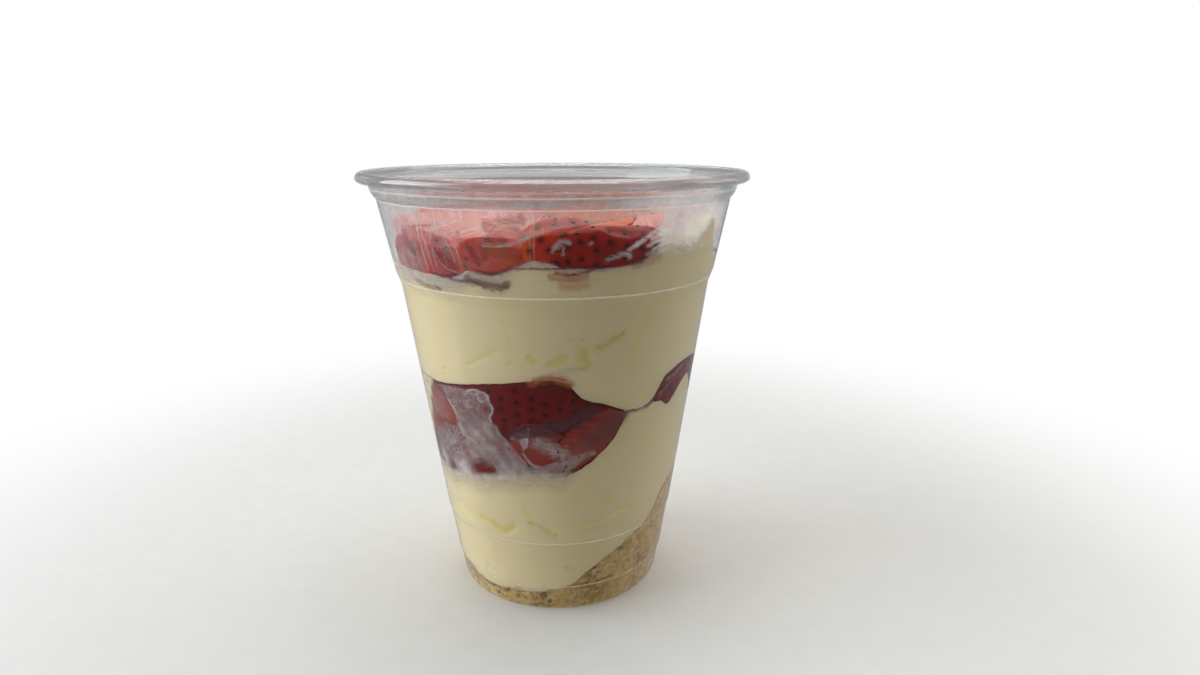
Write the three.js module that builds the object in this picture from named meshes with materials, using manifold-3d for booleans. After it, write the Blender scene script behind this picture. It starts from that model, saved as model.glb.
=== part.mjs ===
// A layered strawberry dessert in a clear plastic cup: biscuit crumbs at the bottom, two layers of
// pale custard cream with strawberry pieces between them, and a heap of cut strawberries on top.
// Millimetres, +Z up, origin under the middle of the cup's foot, the cup's front towards -Y.
// Angles are degrees round the cup, 0 at the front and rising towards +X.

import * as THREE from "three";
import { mergeVertices } from "three/addons/utils/BufferGeometryUtils.js";
import Module from "manifold-3d";

const wasm = await Module();
wasm.setup();

// The cup is a thermoformed cup for a 98 mm lid.
const RIM_RADIUS = 49;
const CUP_HEIGHT = 109.9;
const WALL = 0.6;
const BEAD_RADIUS = 1.6;
const FOOT_RADIUS = 27.5;
const FOOT_FILLET = 1.1;
const PUNT_RADIUS = 21.8;
const PUNT_HEIGHT = 1.6;
const PUNT_SLOPE = 1.0;
const SIDES = 36;

// Radius and height of each turn of the outside wall, from the foot up: a foot band, a stacking
// ring, the long taper, a shoulder and the collar that takes the lid.
const WALL_TURNS = [
  [FOOT_RADIUS, 1.0],
  [28.45, 7.0],
  [28.85, 7.6],
  [30.75, 20.5],
  [31.1, 21.1],
  [39.75, 82.5],
  [41.0, 86.0],
  [44.45, 103.4],
];
const FLARE_OUTSIDE = [[45.2, 104.3], [45.8, 105.4]];
const FLARE_INSIDE = [[45.4, 106.8], [44.6, 104.4]];

// Two pieces that touch keep this gap.
const GAP = 0.3;

// Height at the wall against the angle round the cup: the crumb's top, the edges of the strawberry
// band between the two creams, and the top of the upper cream with its bank at the right.
const CRUMB_EDGE = [
  [-150, 10], [-100, 10], [-62, 7.5], [-42, 4.6], [-15, 5.2], [4, 6.6], [20, 13], [40, 19],
  [52, 23.5], [60, 29.5], [80, 32], [115, 25], [160, 15],
];
const BAND_BOTTOM = [
  [-120, 43], [-90, 39], [-58, 35], [-40, 36.5], [-10, 40], [6, 40.8], [18, 45], [25, 49.5],
  [30, 55.3], [37, 55.2], [44, 56.6], [52, 55], [60, 58.4], [67, 60.5], [80, 52], [110, 46],
  [150, 44], [190, 47],
];
const BAND_TOP = [
  [-120, 60], [-90, 60.5], [-50, 60.5], [-22, 63.2], [0, 65], [6, 64.3], [12, 60.2], [21, 58],
  [30, 55.8], [37, 55.7], [42, 57.5], [48, 62.3], [56, 64], [66, 64.4], [80, 63], [110, 60.5],
  [150, 62], [190, 62.5],
];
const CREAM_EDGE = [
  [-135, 91], [-90, 89.5], [-50, 89.2], [-30, 88.6], [-10, 90.8], [16, 92.5], [28, 94],
  [34, 99.5], [42, 97], [50, 99.3], [57, 100.5], [64, 91], [80, 89.5], [110, 90.5], [140, 92],
  [185, 90],
];

// Heights of the same surfaces in the middle of the cup, and the radius of the wall that each meets.
const CRUMB_MIDDLE = 12;
const CRUMB_WALL = 28;
const CRUMB_LUMP = 0.7;
const BAND_MIDDLE = 56;
const BAND_WALL = 33;
const CREAM_MIDDLE = 89.5;
const CREAM_WALL = 40.5;

// How far in from the wall the two creams close up behind the strawberry band.
const BAND_DEPTH = 6;

// The pressed strawberries in the middle of the band, and the highest that the heap reaches.
const CORE_RADIUS = 21;
const CORE_HALF_HEIGHT = 5;
const HEAP_TOP = 103.6;

// A strawberry's shape: how much wider its shoulder is than its tip, how blunt its ends are, and
// the facets of its skin.
const BERRY_TAPER = 0.28;
const BERRY_BLUNTNESS = 0.8;
const BERRY_FULLNESS = 0.95;
const BERRY_STEPS = 5;
const BERRY_SIDES = 8;

const PLASTIC = new THREE.MeshStandardMaterial({ color: 0xe9eef0, roughness: 0.08, metalness: 0 });
const CRUMB = new THREE.MeshStandardMaterial({ color: 0xb98d56, roughness: 0.95, metalness: 0 });
const CREAM = new THREE.MeshStandardMaterial({ color: 0xf0e4bd, roughness: 0.45, metalness: 0 });
const SKIN = new THREE.MeshStandardMaterial({ color: 0xa81c1c, roughness: 0.35, metalness: 0 });
const FLESH = new THREE.MeshStandardMaterial({ color: 0xd9554a, roughness: 0.4, metalness: 0 });

const radians = (degrees) => (degrees * Math.PI) / 180;

// A repeatable draw from 0 to 1 for each whole number, and one between two sizes.
function draw(number) {
  const value = Math.sin(number * 12.9898 + 4.1414) * 43758.5453;
  return value - Math.floor(value);
}
const between = ([low, high], number) => low + (high - low) * draw(number);

// A closed mesh with shared vertices as a solid that can be joined and cut, and back.
function solidOf(geometry) {
  const bare = geometry.clone();
  bare.deleteAttribute("normal");
  bare.deleteAttribute("uv");
  const merged = mergeVertices(bare, 1e-4);
  return new wasm.Manifold(
    new wasm.Mesh({
      numProp: 3,
      vertProperties: merged.attributes.position.array,
      triVerts: new Uint32Array(merged.index.array),
    }),
  );
}

function geometryOf(solid) {
  const mesh = solid.getMesh();
  const geometry = new THREE.BufferGeometry();
  geometry.setAttribute("position", new THREE.BufferAttribute(mesh.vertProperties, 3));
  geometry.setIndex(new THREE.BufferAttribute(mesh.triVerts, 1));
  geometry.computeVertexNormals();
  return geometry;
}

// Cutting can leave loose scraps: only the largest body stays.
function largestBody(solid) {
  const bodies = solid.decompose();
  return bodies.reduce((best, body) => (body.volume() > best.volume() ? body : best));
}

// A profile of [radius, height] pairs turned round the cup's axis.
function turned(profile) {
  const points = profile.map(([radius, height]) => new THREE.Vector2(radius, height));
  return new THREE.LatheGeometry(points, SIDES).rotateX(Math.PI / 2);
}

// The cup's outside line moved inwards, from the axis under the foot up to the flare. The foot's
// underside is raised inside its ring.
function wallLine(inset) {
  return [
    [0, PUNT_HEIGHT + inset],
    [PUNT_RADIUS + inset / 2, PUNT_HEIGHT + inset],
    [PUNT_RADIUS + PUNT_SLOPE + inset / 2, inset],
    [FOOT_RADIUS - FOOT_FILLET - inset / 2, inset],
    [FOOT_RADIUS - 0.25 * FOOT_FILLET - 0.9 * inset, 0.25 * FOOT_FILLET + inset],
    ...WALL_TURNS.map(([radius, height], turn) => [
      radius - inset,
      turn === 0 ? height + 0.7 * inset : height,
    ]),
  ];
}

// Inside radius of the wall at a height.
function insideRadius(height) {
  const next = WALL_TURNS.findIndex((turn) => turn[1] > height);
  const [lowRadius, low] = WALL_TURNS[next - 1];
  const [highRadius, high] = WALL_TURNS[next];
  return lowRadius + ((highRadius - lowRadius) * (height - low)) / (high - low) - WALL;
}

// One thin shell: foot, wall, flare and the bead rolled outwards at the rim.
function makeCup() {
  const beadStart = 232;
  const beadEnd = 540;
  const beadSteps = 8;
  const bead = [];
  for (let step = 0; step <= beadSteps; step++) {
    const angle = radians(beadStart + ((beadEnd - beadStart) * step) / beadSteps);
    bead.push([
      RIM_RADIUS - BEAD_RADIUS + BEAD_RADIUS * Math.cos(angle),
      CUP_HEIGHT - BEAD_RADIUS + BEAD_RADIUS * Math.sin(angle),
    ]);
  }
  const outside = [...wallLine(0), ...FLARE_OUTSIDE];
  const inside = [...FLARE_INSIDE, ...wallLine(WALL).reverse()];
  return turned([...outside, ...bead, ...inside]);
}

// The space for the filling, a gap inside the wall.
function makeInside() {
  const line = wallLine(WALL + GAP);
  return solidOf(turned([...line, [0, line.at(-1)[1]]]));
}

// Slope of a curve at a point between two neighbours. It is held back where the curve turns, so
// that it doesn't swing past its points.
function heldSlope(before, after, steepest) {
  const mean = (after[1] - before[1]) / (after[0] - before[0]);
  if (Math.sign(mean) !== Math.sign(steepest)) return 0;
  return Math.sign(mean) * Math.min(Math.abs(mean), Math.abs(steepest));
}

// A smooth curve round the cup through [angle, height] pairs.
function roundTheCup(pairs) {
  const count = pairs.length;
  const point = (index) => {
    const lap = Math.floor(index / count);
    const [angle, height] = pairs[index - lap * count];
    return [angle + 360 * lap, height];
  };
  return (angle) => {
    const first = pairs[0][0];
    const wrapped = first + ((((angle - first) % 360) + 360) % 360);
    let index = 0;
    while (point(index + 1)[0] <= wrapped) index++;
    const start = point(index);
    const end = point(index + 1);
    const run = end[0] - start[0];
    const share = (wrapped - start[0]) / run;
    const steepest = (1.5 * (end[1] - start[1])) / run;
    const startSlope = heldSlope(point(index - 1), end, steepest) * run;
    const endSlope = heldSlope(start, point(index + 2), steepest) * run;
    const square = share ** 2;
    const cube = share ** 3;
    return (
      (2 * cube - 3 * square + 1) * start[1] +
      (cube - 2 * square + share) * startSlope +
      (3 * square - 2 * cube) * end[1] +
      (cube - square) * endSlope
    );
  };
}

const smooth = (share) => {
  const held = Math.min(1, Math.max(0, share));
  return held ** 2 * (3 - 2 * held);
};

// Rings of vertices out to beyond the wall, for a surface that is level from wallRadius outwards.
const ringsTo = (wallRadius, shares) => [...shares.map((share) => wallRadius * share), RIM_RADIUS];

// Everything under a surface given by height(angle, radius), down to below the foot.
function blockUnder(height, ringRadii) {
  const bottom = -20;
  const positions = [0, 0, height(0, 0), 0, 0, bottom];
  const addRing = (radius, heightAt) => {
    for (let side = 0; side < SIDES; side++) {
      const angle = (side * 360) / SIDES;
      const turn = radians(angle);
      positions.push(radius * Math.sin(turn), -radius * Math.cos(turn), heightAt(angle));
    }
  };
  for (const radius of ringRadii) addRing(radius, (angle) => height(angle, radius));
  addRing(ringRadii.at(-1), () => bottom);
  const ringCount = ringRadii.length;
  const vertex = (ring, side) => 2 + ring * SIDES + (side % SIDES);
  const index = [];
  for (let side = 0; side < SIDES; side++) {
    index.push(0, vertex(0, side), vertex(0, side + 1));
    for (let ring = 0; ring < ringCount; ring++) {
      const [a, b] = [vertex(ring, side), vertex(ring, side + 1)];
      const [c, d] = [vertex(ring + 1, side), vertex(ring + 1, side + 1)];
      index.push(a, c, d, a, d, b);
    }
    index.push(1, vertex(ringCount, side + 1), vertex(ringCount, side));
  }
  const geometry = new THREE.BufferGeometry();
  geometry.setAttribute("position", new THREE.Float32BufferAttribute(positions, 3));
  geometry.setIndex(index);
  return solidOf(geometry);
}

// The surfaces between the layers.
const crumbEdge = roundTheCup(CRUMB_EDGE);
const bandBottom = roundTheCup(BAND_BOTTOM);
const bandTop = roundTheCup(BAND_TOP);
const creamEdge = roundTheCup(CREAM_EDGE);
const CRUMB_RINGS = ringsTo(CRUMB_WALL, [0.4, 0.75, 1]);
const BAND_RINGS = ringsTo(BAND_WALL, [0.5, 1 - BAND_DEPTH / BAND_WALL, 1]);
const CREAM_RINGS = ringsTo(CREAM_WALL, [0.6, 1]);

function crumbTop(angle, radius) {
  const lump = CRUMB_LUMP * (draw(angle + 7 * radius) - 0.5);
  const rise = (crumbEdge(angle) - CRUMB_MIDDLE) * smooth(radius / CRUMB_WALL);
  return CRUMB_MIDDLE + rise + (radius > 0 ? lump : 0);
}

function creamsMeet(angle, radius) {
  const atWall = (bandBottom(angle) + bandTop(angle)) / 2;
  return BAND_MIDDLE + (atWall - BAND_MIDDLE) * smooth(radius / BAND_WALL);
}

// The creams part over this share of the way from where they close up to the wall.
const opening = (radius) => smooth((radius - BAND_WALL + BAND_DEPTH) / BAND_DEPTH);

function lowerCreamTop(angle, radius) {
  const meet = creamsMeet(angle, radius);
  return meet + (bandBottom(angle) - meet) * opening(radius);
}

function upperCreamBottom(angle, radius) {
  const meet = creamsMeet(angle, radius);
  return meet + (bandTop(angle) - meet) * opening(radius) + GAP;
}

function upperCreamTop(angle, radius) {
  const inner = CREAM_RINGS[0];
  const edge = smooth((radius - inner) / (CREAM_WALL - inner));
  return CREAM_MIDDLE + (creamEdge(angle) - CREAM_MIDDLE) * edge;
}

// One cut strawberry along +X with its skin towards +Z. A half has one cut face, a wedge has two
// that meet inside, and a slab has two side by side.
function berryPiece({ length, width, cut }, grow) {
  const points = [];
  for (let step = 0; step <= BERRY_STEPS; step++) {
    const angle = (Math.PI * step) / BERRY_STEPS;
    const taper = BERRY_FULLNESS * (1 + BERRY_TAPER * Math.cos(angle));
    const radius = (width / 2) * Math.sin(angle) ** BERRY_BLUNTNESS * taper;
    const along = -(length / 2 + grow) * Math.cos(angle);
    points.push(new THREE.Vector2(step % BERRY_STEPS ? radius + grow : 0, along));
  }
  let piece = solidOf(new THREE.LatheGeometry(points, BERRY_SIDES).rotateZ(-Math.PI / 2));
  // Tilt of each cut about the berry's length, and its distance from the berry's middle line.
  const cuts = {
    half: [[0, 0]],
    wedge: [[40, 0], [-40, 0]],
    slab: [[0, 0.12 * width], [180, -0.38 * width]],
  };
  const side = 90;
  for (const [tilt, from] of cuts[cut]) {
    const keep = new THREE.BoxGeometry(side, side, side)
      .translate(0, 0, side / 2 + from - grow)
      .rotateX(radians(tilt));
    piece = piece.intersect(solidOf(keep));
  }
  return piece;
}

// Where a piece lies: angle round the cup, distance from the axis and height of its middle, then
// its heading from the wall's direction, the rise of its tip and the roll that turns its skin
// downwards from facing the wall.
function placement({ angle, out, height, heading = 0, rise = 0, roll = 0 }) {
  const a = radians(angle);
  const along = new THREE.Vector3(Math.cos(a), Math.sin(a), 0);
  const outward = new THREE.Vector3(Math.sin(a), -Math.cos(a), 0);
  const up = new THREE.Vector3(0, 0, 1);
  const turn = new THREE.Matrix4()
    .makeRotationY(radians(heading))
    .multiply(new THREE.Matrix4().makeRotationZ(radians(rise)))
    .multiply(new THREE.Matrix4().makeRotationX(radians(roll)));
  return new THREE.Matrix4()
    .makeBasis(along, up, outward)
    .multiply(turn)
    .setPosition(outward.clone().multiplyScalar(out).setZ(height));
}

// A piece with its skin, or with faceOut its cut face, pressed against the wall.
function onTheWall({ height, width, faceOut = false, press, ...rest }) {
  const reach = faceOut ? 0 : width / 2;
  const out = insideRadius(height) - reach + press;
  return { cut: "half", roll: faceOut ? 180 : 0, ...rest, height, width, out };
}

// The strawberry pieces that show in the band between the creams, from the left of the front to
// its right.
const bandPieces = [
  { angle: -54, height: 52.6, length: 19, width: 14, rise: 10, faceOut: true, press: 1.4 },
  { angle: -18, height: 59.2, length: 42, width: 25, rise: 2, cut: "wedge", press: 2.6 },
  { angle: 14, height: 57.0, length: 24, width: 16, rise: -14, cut: "wedge", press: 2.2 },
  { angle: 19, height: 50.4, length: 22, width: 13, rise: 34, faceOut: true, press: 1.6 },
  { angle: -2, height: 47.4, length: 18, width: 12, rise: -24, faceOut: true, press: 1.4 },
  { angle: -27, height: 48.2, length: 25, width: 16, rise: -6, press: 1.8 },
  { angle: 12, height: 43.2, length: 16, width: 9, rise: 36, cut: "slab", roll: 60, press: 0.8 },
  { angle: -55, height: 38.4, length: 15, width: 12, rise: -8, press: 2.0 },
  { angle: -31, height: 39.4, length: 18, width: 9, rise: 4, cut: "wedge", press: 2.0 },
  { angle: 55, height: 60.2, length: 21, width: 10, rise: 26, press: 2.0 },
].map(onTheWall);

// The band goes on round the back.
const BAND_BACK = {
  pieces: 6,
  from: 88,
  step: 34,
  wander: [-2.5, 2.5],
  shift: [-1.5, 1.5],
  length: [21, 26],
  width: [17, 22],
  rise: [-25, 25],
  press: 1.4,
};
for (let n = 0; n < BAND_BACK.pieces; n++) {
  const angle = BAND_BACK.from + n * BAND_BACK.step + between(BAND_BACK.wander, n);
  bandPieces.push(
    onTheWall({
      angle,
      height: creamsMeet(angle, BAND_WALL) + between(BAND_BACK.shift, n + 20),
      length: between(BAND_BACK.length, n + 40),
      width: between(BAND_BACK.width, n + 60),
      rise: between(BAND_BACK.rise, n + 80),
      cut: n % 3 === 1 ? "wedge" : "half",
      faceOut: n % 3 === 2,
      press: BAND_BACK.press,
    }),
  );
}

// The heap on top, first the pieces that show at the front.
const heapPieces = [
  { angle: -29, out: 32, height: 100, length: 36, width: 24, roll: 116, cut: "half" },
  onTheWall({ angle: -40, height: 92, length: 28, width: 16, rise: -3, cut: "wedge", press: 2 }),
  onTheWall({ angle: -13, height: 93.6, length: 22, width: 15, rise: 6, roll: 12, cut: "wedge", press: 2 }),
  onTheWall({ angle: 3, height: 96.4, length: 17, width: 12, rise: 24, roll: 20, press: 1.4 }),
  onTheWall({ angle: 20, height: 93.6, length: 27, width: 17, rise: 4, roll: 42, press: 2.4 }),
  { angle: 16, out: 33.5, height: 101.2, length: 21, width: 13, rise: 4, roll: 128, cut: "half" },
  { angle: 43, out: 30.5, height: 99.6, length: 26, width: 18, rise: 6, roll: 106, cut: "half" },
  { angle: -57, out: 30.5, height: 98.6, length: 24, width: 17, heading: 24, roll: 96, cut: "half" },
];

// The heap goes on in a ring round the back, every other piece pointing inwards.
const HEAP_BACK = {
  pieces: 7,
  from: 74,
  step: 31.5,
  wander: [-2.5, 2.5],
  out: [31, 32.5],
  height: [95.4, 98.4],
  length: [25, 31],
  width: [18, 22],
  headingAlong: [-15, 15],
  headingIn: [80, 110],
  rise: [-8, 8],
  roll: [60, 125],
};
for (let n = 0; n < HEAP_BACK.pieces; n++) {
  heapPieces.push({
    angle: HEAP_BACK.from + n * HEAP_BACK.step + between(HEAP_BACK.wander, n + 3),
    out: between(HEAP_BACK.out, n + 23),
    height: between(HEAP_BACK.height, n + 43),
    length: between(HEAP_BACK.length, n + 63),
    width: between(HEAP_BACK.width, n + 83),
    heading: between(n % 2 ? HEAP_BACK.headingIn : HEAP_BACK.headingAlong, n + 103),
    rise: between(HEAP_BACK.rise, n + 123),
    roll: between(HEAP_BACK.roll, n + 143),
    cut: n % 4 === 2 ? "wedge" : "half",
  });
}

// The middle of the heap, with the pieces' cut faces up.
const HEAP_MIDDLE = {
  pieces: 5,
  from: 12,
  step: 72,
  out: 14,
  height: [98.6, 100.6],
  length: [28, 32],
  width: [20, 23],
  heading: [70, 110],
  rise: [-7, 7],
  roll: [70, 130],
};
for (let n = 0; n < HEAP_MIDDLE.pieces; n++) {
  heapPieces.push({
    angle: HEAP_MIDDLE.from + n * HEAP_MIDDLE.step,
    out: HEAP_MIDDLE.out,
    height: between(HEAP_MIDDLE.height, n + 163),
    length: between(HEAP_MIDDLE.length, n + 183),
    width: between(HEAP_MIDDLE.width, n + 203),
    heading: between(HEAP_MIDDLE.heading, n + 223),
    rise: between(HEAP_MIDDLE.rise, n + 243),
    roll: between(HEAP_MIDDLE.roll, n + 263),
    cut: "half",
  });
}

const atPlace = (piece, grow) =>
  solidOf(geometryOf(berryPiece(piece, grow)).applyMatrix4(placement(piece)));

// Each piece is cut to the space it is in, and gives way to the pieces before it. Its room is the
// piece grown by the gap.
function fitted(pieces, space) {
  const placed = [];
  for (const piece of pieces) {
    let solid = atPlace(piece, 0).intersect(space);
    for (const { room } of placed) solid = solid.subtract(room);
    placed.push({ solid: largestBody(solid), room: atPlace(piece, GAP), cutFaceShows: piece.roll === 180 });
  }
  return placed;
}

const inside = makeInside();
const headroom = solidOf(
  new THREE.BoxGeometry(3 * RIM_RADIUS, 3 * RIM_RADIUS, HEAP_TOP).translate(0, 0, HEAP_TOP / 2),
);
const band = fitted(bandPieces, inside);
const heap = fitted(heapPieces, inside.intersect(headroom));

// The strawberries pressed together in the middle of the band, behind the pieces at the wall.
function makeCore(grow) {
  const round = CORE_RADIUS + grow;
  return solidOf(
    new THREE.SphereGeometry(1, 12, 6)
      .rotateX(Math.PI / 2)
      .scale(round, round, CORE_HALF_HEIGHT + grow)
      .translate(0, 0, BAND_MIDDLE - 1),
  );
}

const cutBy = (solid, pieces) => pieces.reduce((rest, { room }) => rest.subtract(room), solid);
const core = cutBy(makeCore(0), band);
const coreRoom = makeCore(GAP);
const crumb = inside.intersect(blockUnder(crumbTop, CRUMB_RINGS));
const crumbRoom = blockUnder((angle, radius) => crumbTop(angle, radius) + GAP, CRUMB_RINGS);
const lowerCream = inside
  .intersect(blockUnder(lowerCreamTop, BAND_RINGS))
  .subtract(crumbRoom)
  .subtract(coreRoom);
const upperCream = inside
  .intersect(blockUnder(upperCreamTop, CREAM_RINGS))
  .subtract(blockUnder(upperCreamBottom, BAND_RINGS))
  .subtract(coreRoom);

const dessert = new THREE.Group();

function add(name, geometry, material) {
  const mesh = new THREE.Mesh(geometry, material);
  mesh.name = name;
  dessert.add(mesh);
}

add("cup", makeCup(), PLASTIC);
add("biscuit_crumb", geometryOf(largestBody(crumb)), CRUMB);
add("cream_lower", geometryOf(largestBody(cutBy(lowerCream, band))), CREAM);
add("cream_upper", geometryOf(largestBody(cutBy(upperCream, [...band, ...heap]))), CREAM);
add("filling_core", geometryOf(largestBody(core)), FLESH);
band.forEach(({ solid, cutFaceShows }, n) => {
  add(`band_berry_${n + 1}`, geometryOf(solid), cutFaceShows ? FLESH : SKIN);
});
heap.forEach(({ solid }, n) => {
  add(`top_berry_${n + 1}`, geometryOf(solid), SKIN);
});

export default dessert;
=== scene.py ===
# A layered strawberry dessert in a clear plastic cup. Lengths are in millimetres until a mesh is
# made, which is in metres. Angles round the cup are in degrees, 0 at the shown side (-Y) and rising
# towards +X.
from functools import partial

import bpy
import numpy as np
from mathutils import Euler, Matrix, Vector, kdtree


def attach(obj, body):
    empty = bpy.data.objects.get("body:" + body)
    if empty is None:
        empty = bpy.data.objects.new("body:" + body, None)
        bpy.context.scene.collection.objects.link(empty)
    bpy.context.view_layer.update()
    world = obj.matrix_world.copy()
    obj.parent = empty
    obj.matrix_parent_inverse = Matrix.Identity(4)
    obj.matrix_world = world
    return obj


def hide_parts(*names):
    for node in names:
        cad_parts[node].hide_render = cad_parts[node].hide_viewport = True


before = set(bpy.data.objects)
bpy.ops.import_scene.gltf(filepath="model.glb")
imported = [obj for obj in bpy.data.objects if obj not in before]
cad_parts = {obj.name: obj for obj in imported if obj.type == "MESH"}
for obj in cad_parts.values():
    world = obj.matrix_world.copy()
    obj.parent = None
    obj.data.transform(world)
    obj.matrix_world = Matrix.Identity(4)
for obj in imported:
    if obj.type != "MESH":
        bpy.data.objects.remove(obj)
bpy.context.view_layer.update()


# The cup. A clear cup drawn from a sheet of plastic: a foot ring, a band, a stacking ring, a long
# taper, a shoulder, a collar for the lid and a bead rolled outwards. It is glossy inside and out.
MM = 0.001
RIM_RADIUS = 48.96
CUP_HEIGHT = 109.85
WALL = 0.6
BEAD_RADIUS = 1.6
CURL_SHEET = 0.42
CURL_FLAT = 0.7
FOOT_RADIUS = 27.5
FOOT_FILLET = 1.1
PUNT_RADIUS = 21.8
PUNT_HEIGHT = 1.6
PUNT_SLOPE = 1.0
CUP_TURNS = 256
CURL_STEPS = 24
WALL_CORNERS = [
    (FOOT_RADIUS, 1.0),
    (28.45, 7.0),
    (28.85, 7.6),
    (30.75, 20.5),
    (31.1, 21.1),
    (39.75, 82.5),
    (41.0, 86.0),
    (44.45, 103.4),
]
FLARE_OUTSIDE = [(45.2, 104.3), (45.8, 105.4)]
FLARE_INSIDE = [(45.4, 106.8), (44.6, 104.4)]
# Height and strength of the painted highlight: white lines along the crisp edges of the rings.
RING_HIGHLIGHTS = [(7.3, 0.4), (20.8, 0.42), (84.6, 0.5), (103.4, 0.5), (105.9, 0.5)]
RING_HIGHLIGHT_WIDTH = 0.28
TURN_ROUND = 0.3
# Waves to the metre round and up the wall, where the sheet was drawn down.
DRAWN_RIPPLE = (260, 260, 14)
PLASTIC_CLEAR = (0.97, 0.985, 0.985, 1)
PLASTIC_GREY = (0.77, 0.78, 0.785, 1)


def wall_line(inset):
    """The cup's outside line moved inwards, from the axis under the foot up to the collar."""
    punt, floor, turned_up = PUNT_RADIUS + inset / 2, FOOT_RADIUS - inset / 2, 0.25 * FOOT_FILLET
    foot = [
        (0, PUNT_HEIGHT + inset),
        (punt, PUNT_HEIGHT + inset),
        (punt + PUNT_SLOPE, inset),
        (floor - FOOT_FILLET, inset),
        (FOOT_RADIUS - turned_up - 0.9 * inset, turned_up + inset),
        (FOOT_RADIUS - inset, WALL_CORNERS[0][1] + 0.7 * inset),
    ]
    return foot + [(radius - inset, height) for radius, height in WALL_CORNERS[1:]]


def rounded(corners, reach, steps=5):
    """The same line with each corner taken round."""
    corners = np.array(corners, float)
    line = [corners[0]]
    for before, corner, after in zip(corners, corners[1:], corners[2:]):
        back, on = before - corner, after - corner
        back_length, on_length = np.linalg.norm(back), np.linalg.norm(on)
        held = min(reach, 0.45 * back_length, 0.45 * on_length)
        start, end = corner + back / back_length * held, corner + on / on_length * held
        for share in np.linspace(0, 1, steps):
            left = 1 - share
            line.append(left**2 * start + 2 * share * left * corner + share**2 * end)
    line.append(corners[-1])
    return np.array(line)


def around_the_cup(radius, height):
    """A closed skin from one line for each angle round the cup, each from the axis to the axis."""
    turns, rows = radius.shape
    turn = np.arange(turns) * 2 * np.pi / turns
    x, y = radius * np.sin(turn)[:, None], -radius * np.cos(turn)[:, None]
    points = np.stack([x, y, height], -1)
    ring = rows - 2
    low, high = turns * ring, turns * ring + 1
    corners = np.concatenate([points[:, 1:-1].reshape(-1, 3), points[:, (0, -1)].mean(0)])
    start = (np.arange(turns) * ring)[:, None]
    following = np.roll(start, -1, axis=0)
    step = np.arange(ring - 1)
    quads = np.stack([start + step, following + step, following + step + 1, start + step + 1], -1)
    ends = [(low, b, a) for a, b in zip(start[:, 0], following[:, 0])]
    ends += [(a + ring - 1, b + ring - 1, high) for a, b in zip(start[:, 0], following[:, 0])]
    return corners, quads.reshape(-1, 4).tolist() + ends


def new_piece(name, points, faces, materials):
    """A mesh in metres that rides with the cup."""
    mesh = bpy.data.meshes.new(name)
    mesh.from_pydata((np.asarray(points) * MM).tolist(), [], faces)
    for material in materials:
        mesh.materials.append(material)
    mesh.shade_smooth()
    piece = bpy.data.objects.new(name, mesh)
    bpy.context.scene.collection.objects.link(piece)
    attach(piece, "root")
    return piece


def new_material(name, **settings):
    """A material, its node tree and its surface shader with the given values set."""
    material = bpy.data.materials.new(name)
    material.use_nodes = True
    surface = material.node_tree.nodes["Principled BSDF"]
    for socket, value in settings.items():
        surface.inputs[socket.replace("_", " ")].default_value = value
    return material, material.node_tree, surface


def add_node(tree, kind, inputs=None, **settings):
    """A shader node with its settings and its inputs, each a value or another node's output."""
    made = tree.nodes.new("ShaderNode" + kind)
    for name, value in settings.items():
        setattr(made, name, value)
    for name, value in (inputs or {}).items():
        if isinstance(value, bpy.types.NodeSocket):
            tree.links.new(value, made.inputs[name])
        else:
            made.inputs[name].default_value = value
    return made


def worked_out(tree, operation, *values, **settings):
    """The result of a sum between values that change over the surface."""
    made = add_node(tree, "Math", dict(enumerate(values)), operation=operation, **settings)
    return made.outputs[0]


def carried(tree, value, low, high, start=0.0, end=1.0, **settings):
    """A value carried from between start and end to between low and high, and held there."""
    ranges = {"Value": value, "From Min": start, "From Max": end, "To Min": low, "To Max": high}
    return add_node(tree, "MapRange", ranges, **settings).outputs["Result"]


def colour_mix(tree, share, first, second):
    """The first colour where the share is 0 and the second where it is 1."""
    return add_node(tree, "Mix", {0: share, 6: first, 7: second}, data_type="RGBA").outputs[2]


def shader_mix(tree, share, first, second):
    """The first shader where the share is 0 and the second where it is 1."""
    return add_node(tree, "MixShader", {0: share, 1: first, 2: second}).outputs["Shader"]


def finish(tree, surface, colour=None, roughness=None, relief=None, **others):
    """Join what changes over the surface to its shader. The relief is height, strength, depth."""
    joined = {"Base Color": colour, "Roughness": roughness}
    joined.update({name.replace("_", " "): socket for name, socket in others.items()})
    if relief:
        raised = dict(zip(("Height", "Strength", "Distance"), relief))
        joined["Normal"] = add_node(tree, "Bump", raised).outputs["Normal"]
    for name, socket in joined.items():
        if socket is not None:
            tree.links.new(socket, surface.inputs[name])


def new_group(name, **inputs):
    """An empty node group with named inputs, and the sockets that bring them in."""
    group = bpy.data.node_groups.new(name, "ShaderNodeTree")
    for socket, value in inputs.items():
        kind = "NodeSocketVector" if isinstance(value, tuple) else "NodeSocketFloat"
        made = group.interface.new_socket(socket, in_out="INPUT", socket_type=kind)
        made.default_value = value
    return group, group.nodes.new("NodeGroupInput").outputs


def give_out(group, **outputs):
    """The values that a node group puts out, by their names."""
    for socket in outputs:
        group.interface.new_socket(socket, in_out="OUTPUT", socket_type="NodeSocketFloat")
    given = group.nodes.new("NodeGroupOutput").inputs
    for socket, value in outputs.items():
        group.links.new(value, given[socket])


def mottled(tree, grain, detail, low=0.0, high=1.0, roughness=0.5):
    """The mottling placed in a material: its noise, and the level that follows it."""
    grain = grain if isinstance(grain, tuple) else (grain,) * 3
    asked = {"Grain": grain, "Detail": detail, "Roughness": roughness, "Low": low, "High": high}
    placed = add_node(tree, "Group", asked, node_tree=mottling)
    return placed.outputs["Noise"], placed.outputs["Level"]


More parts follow.
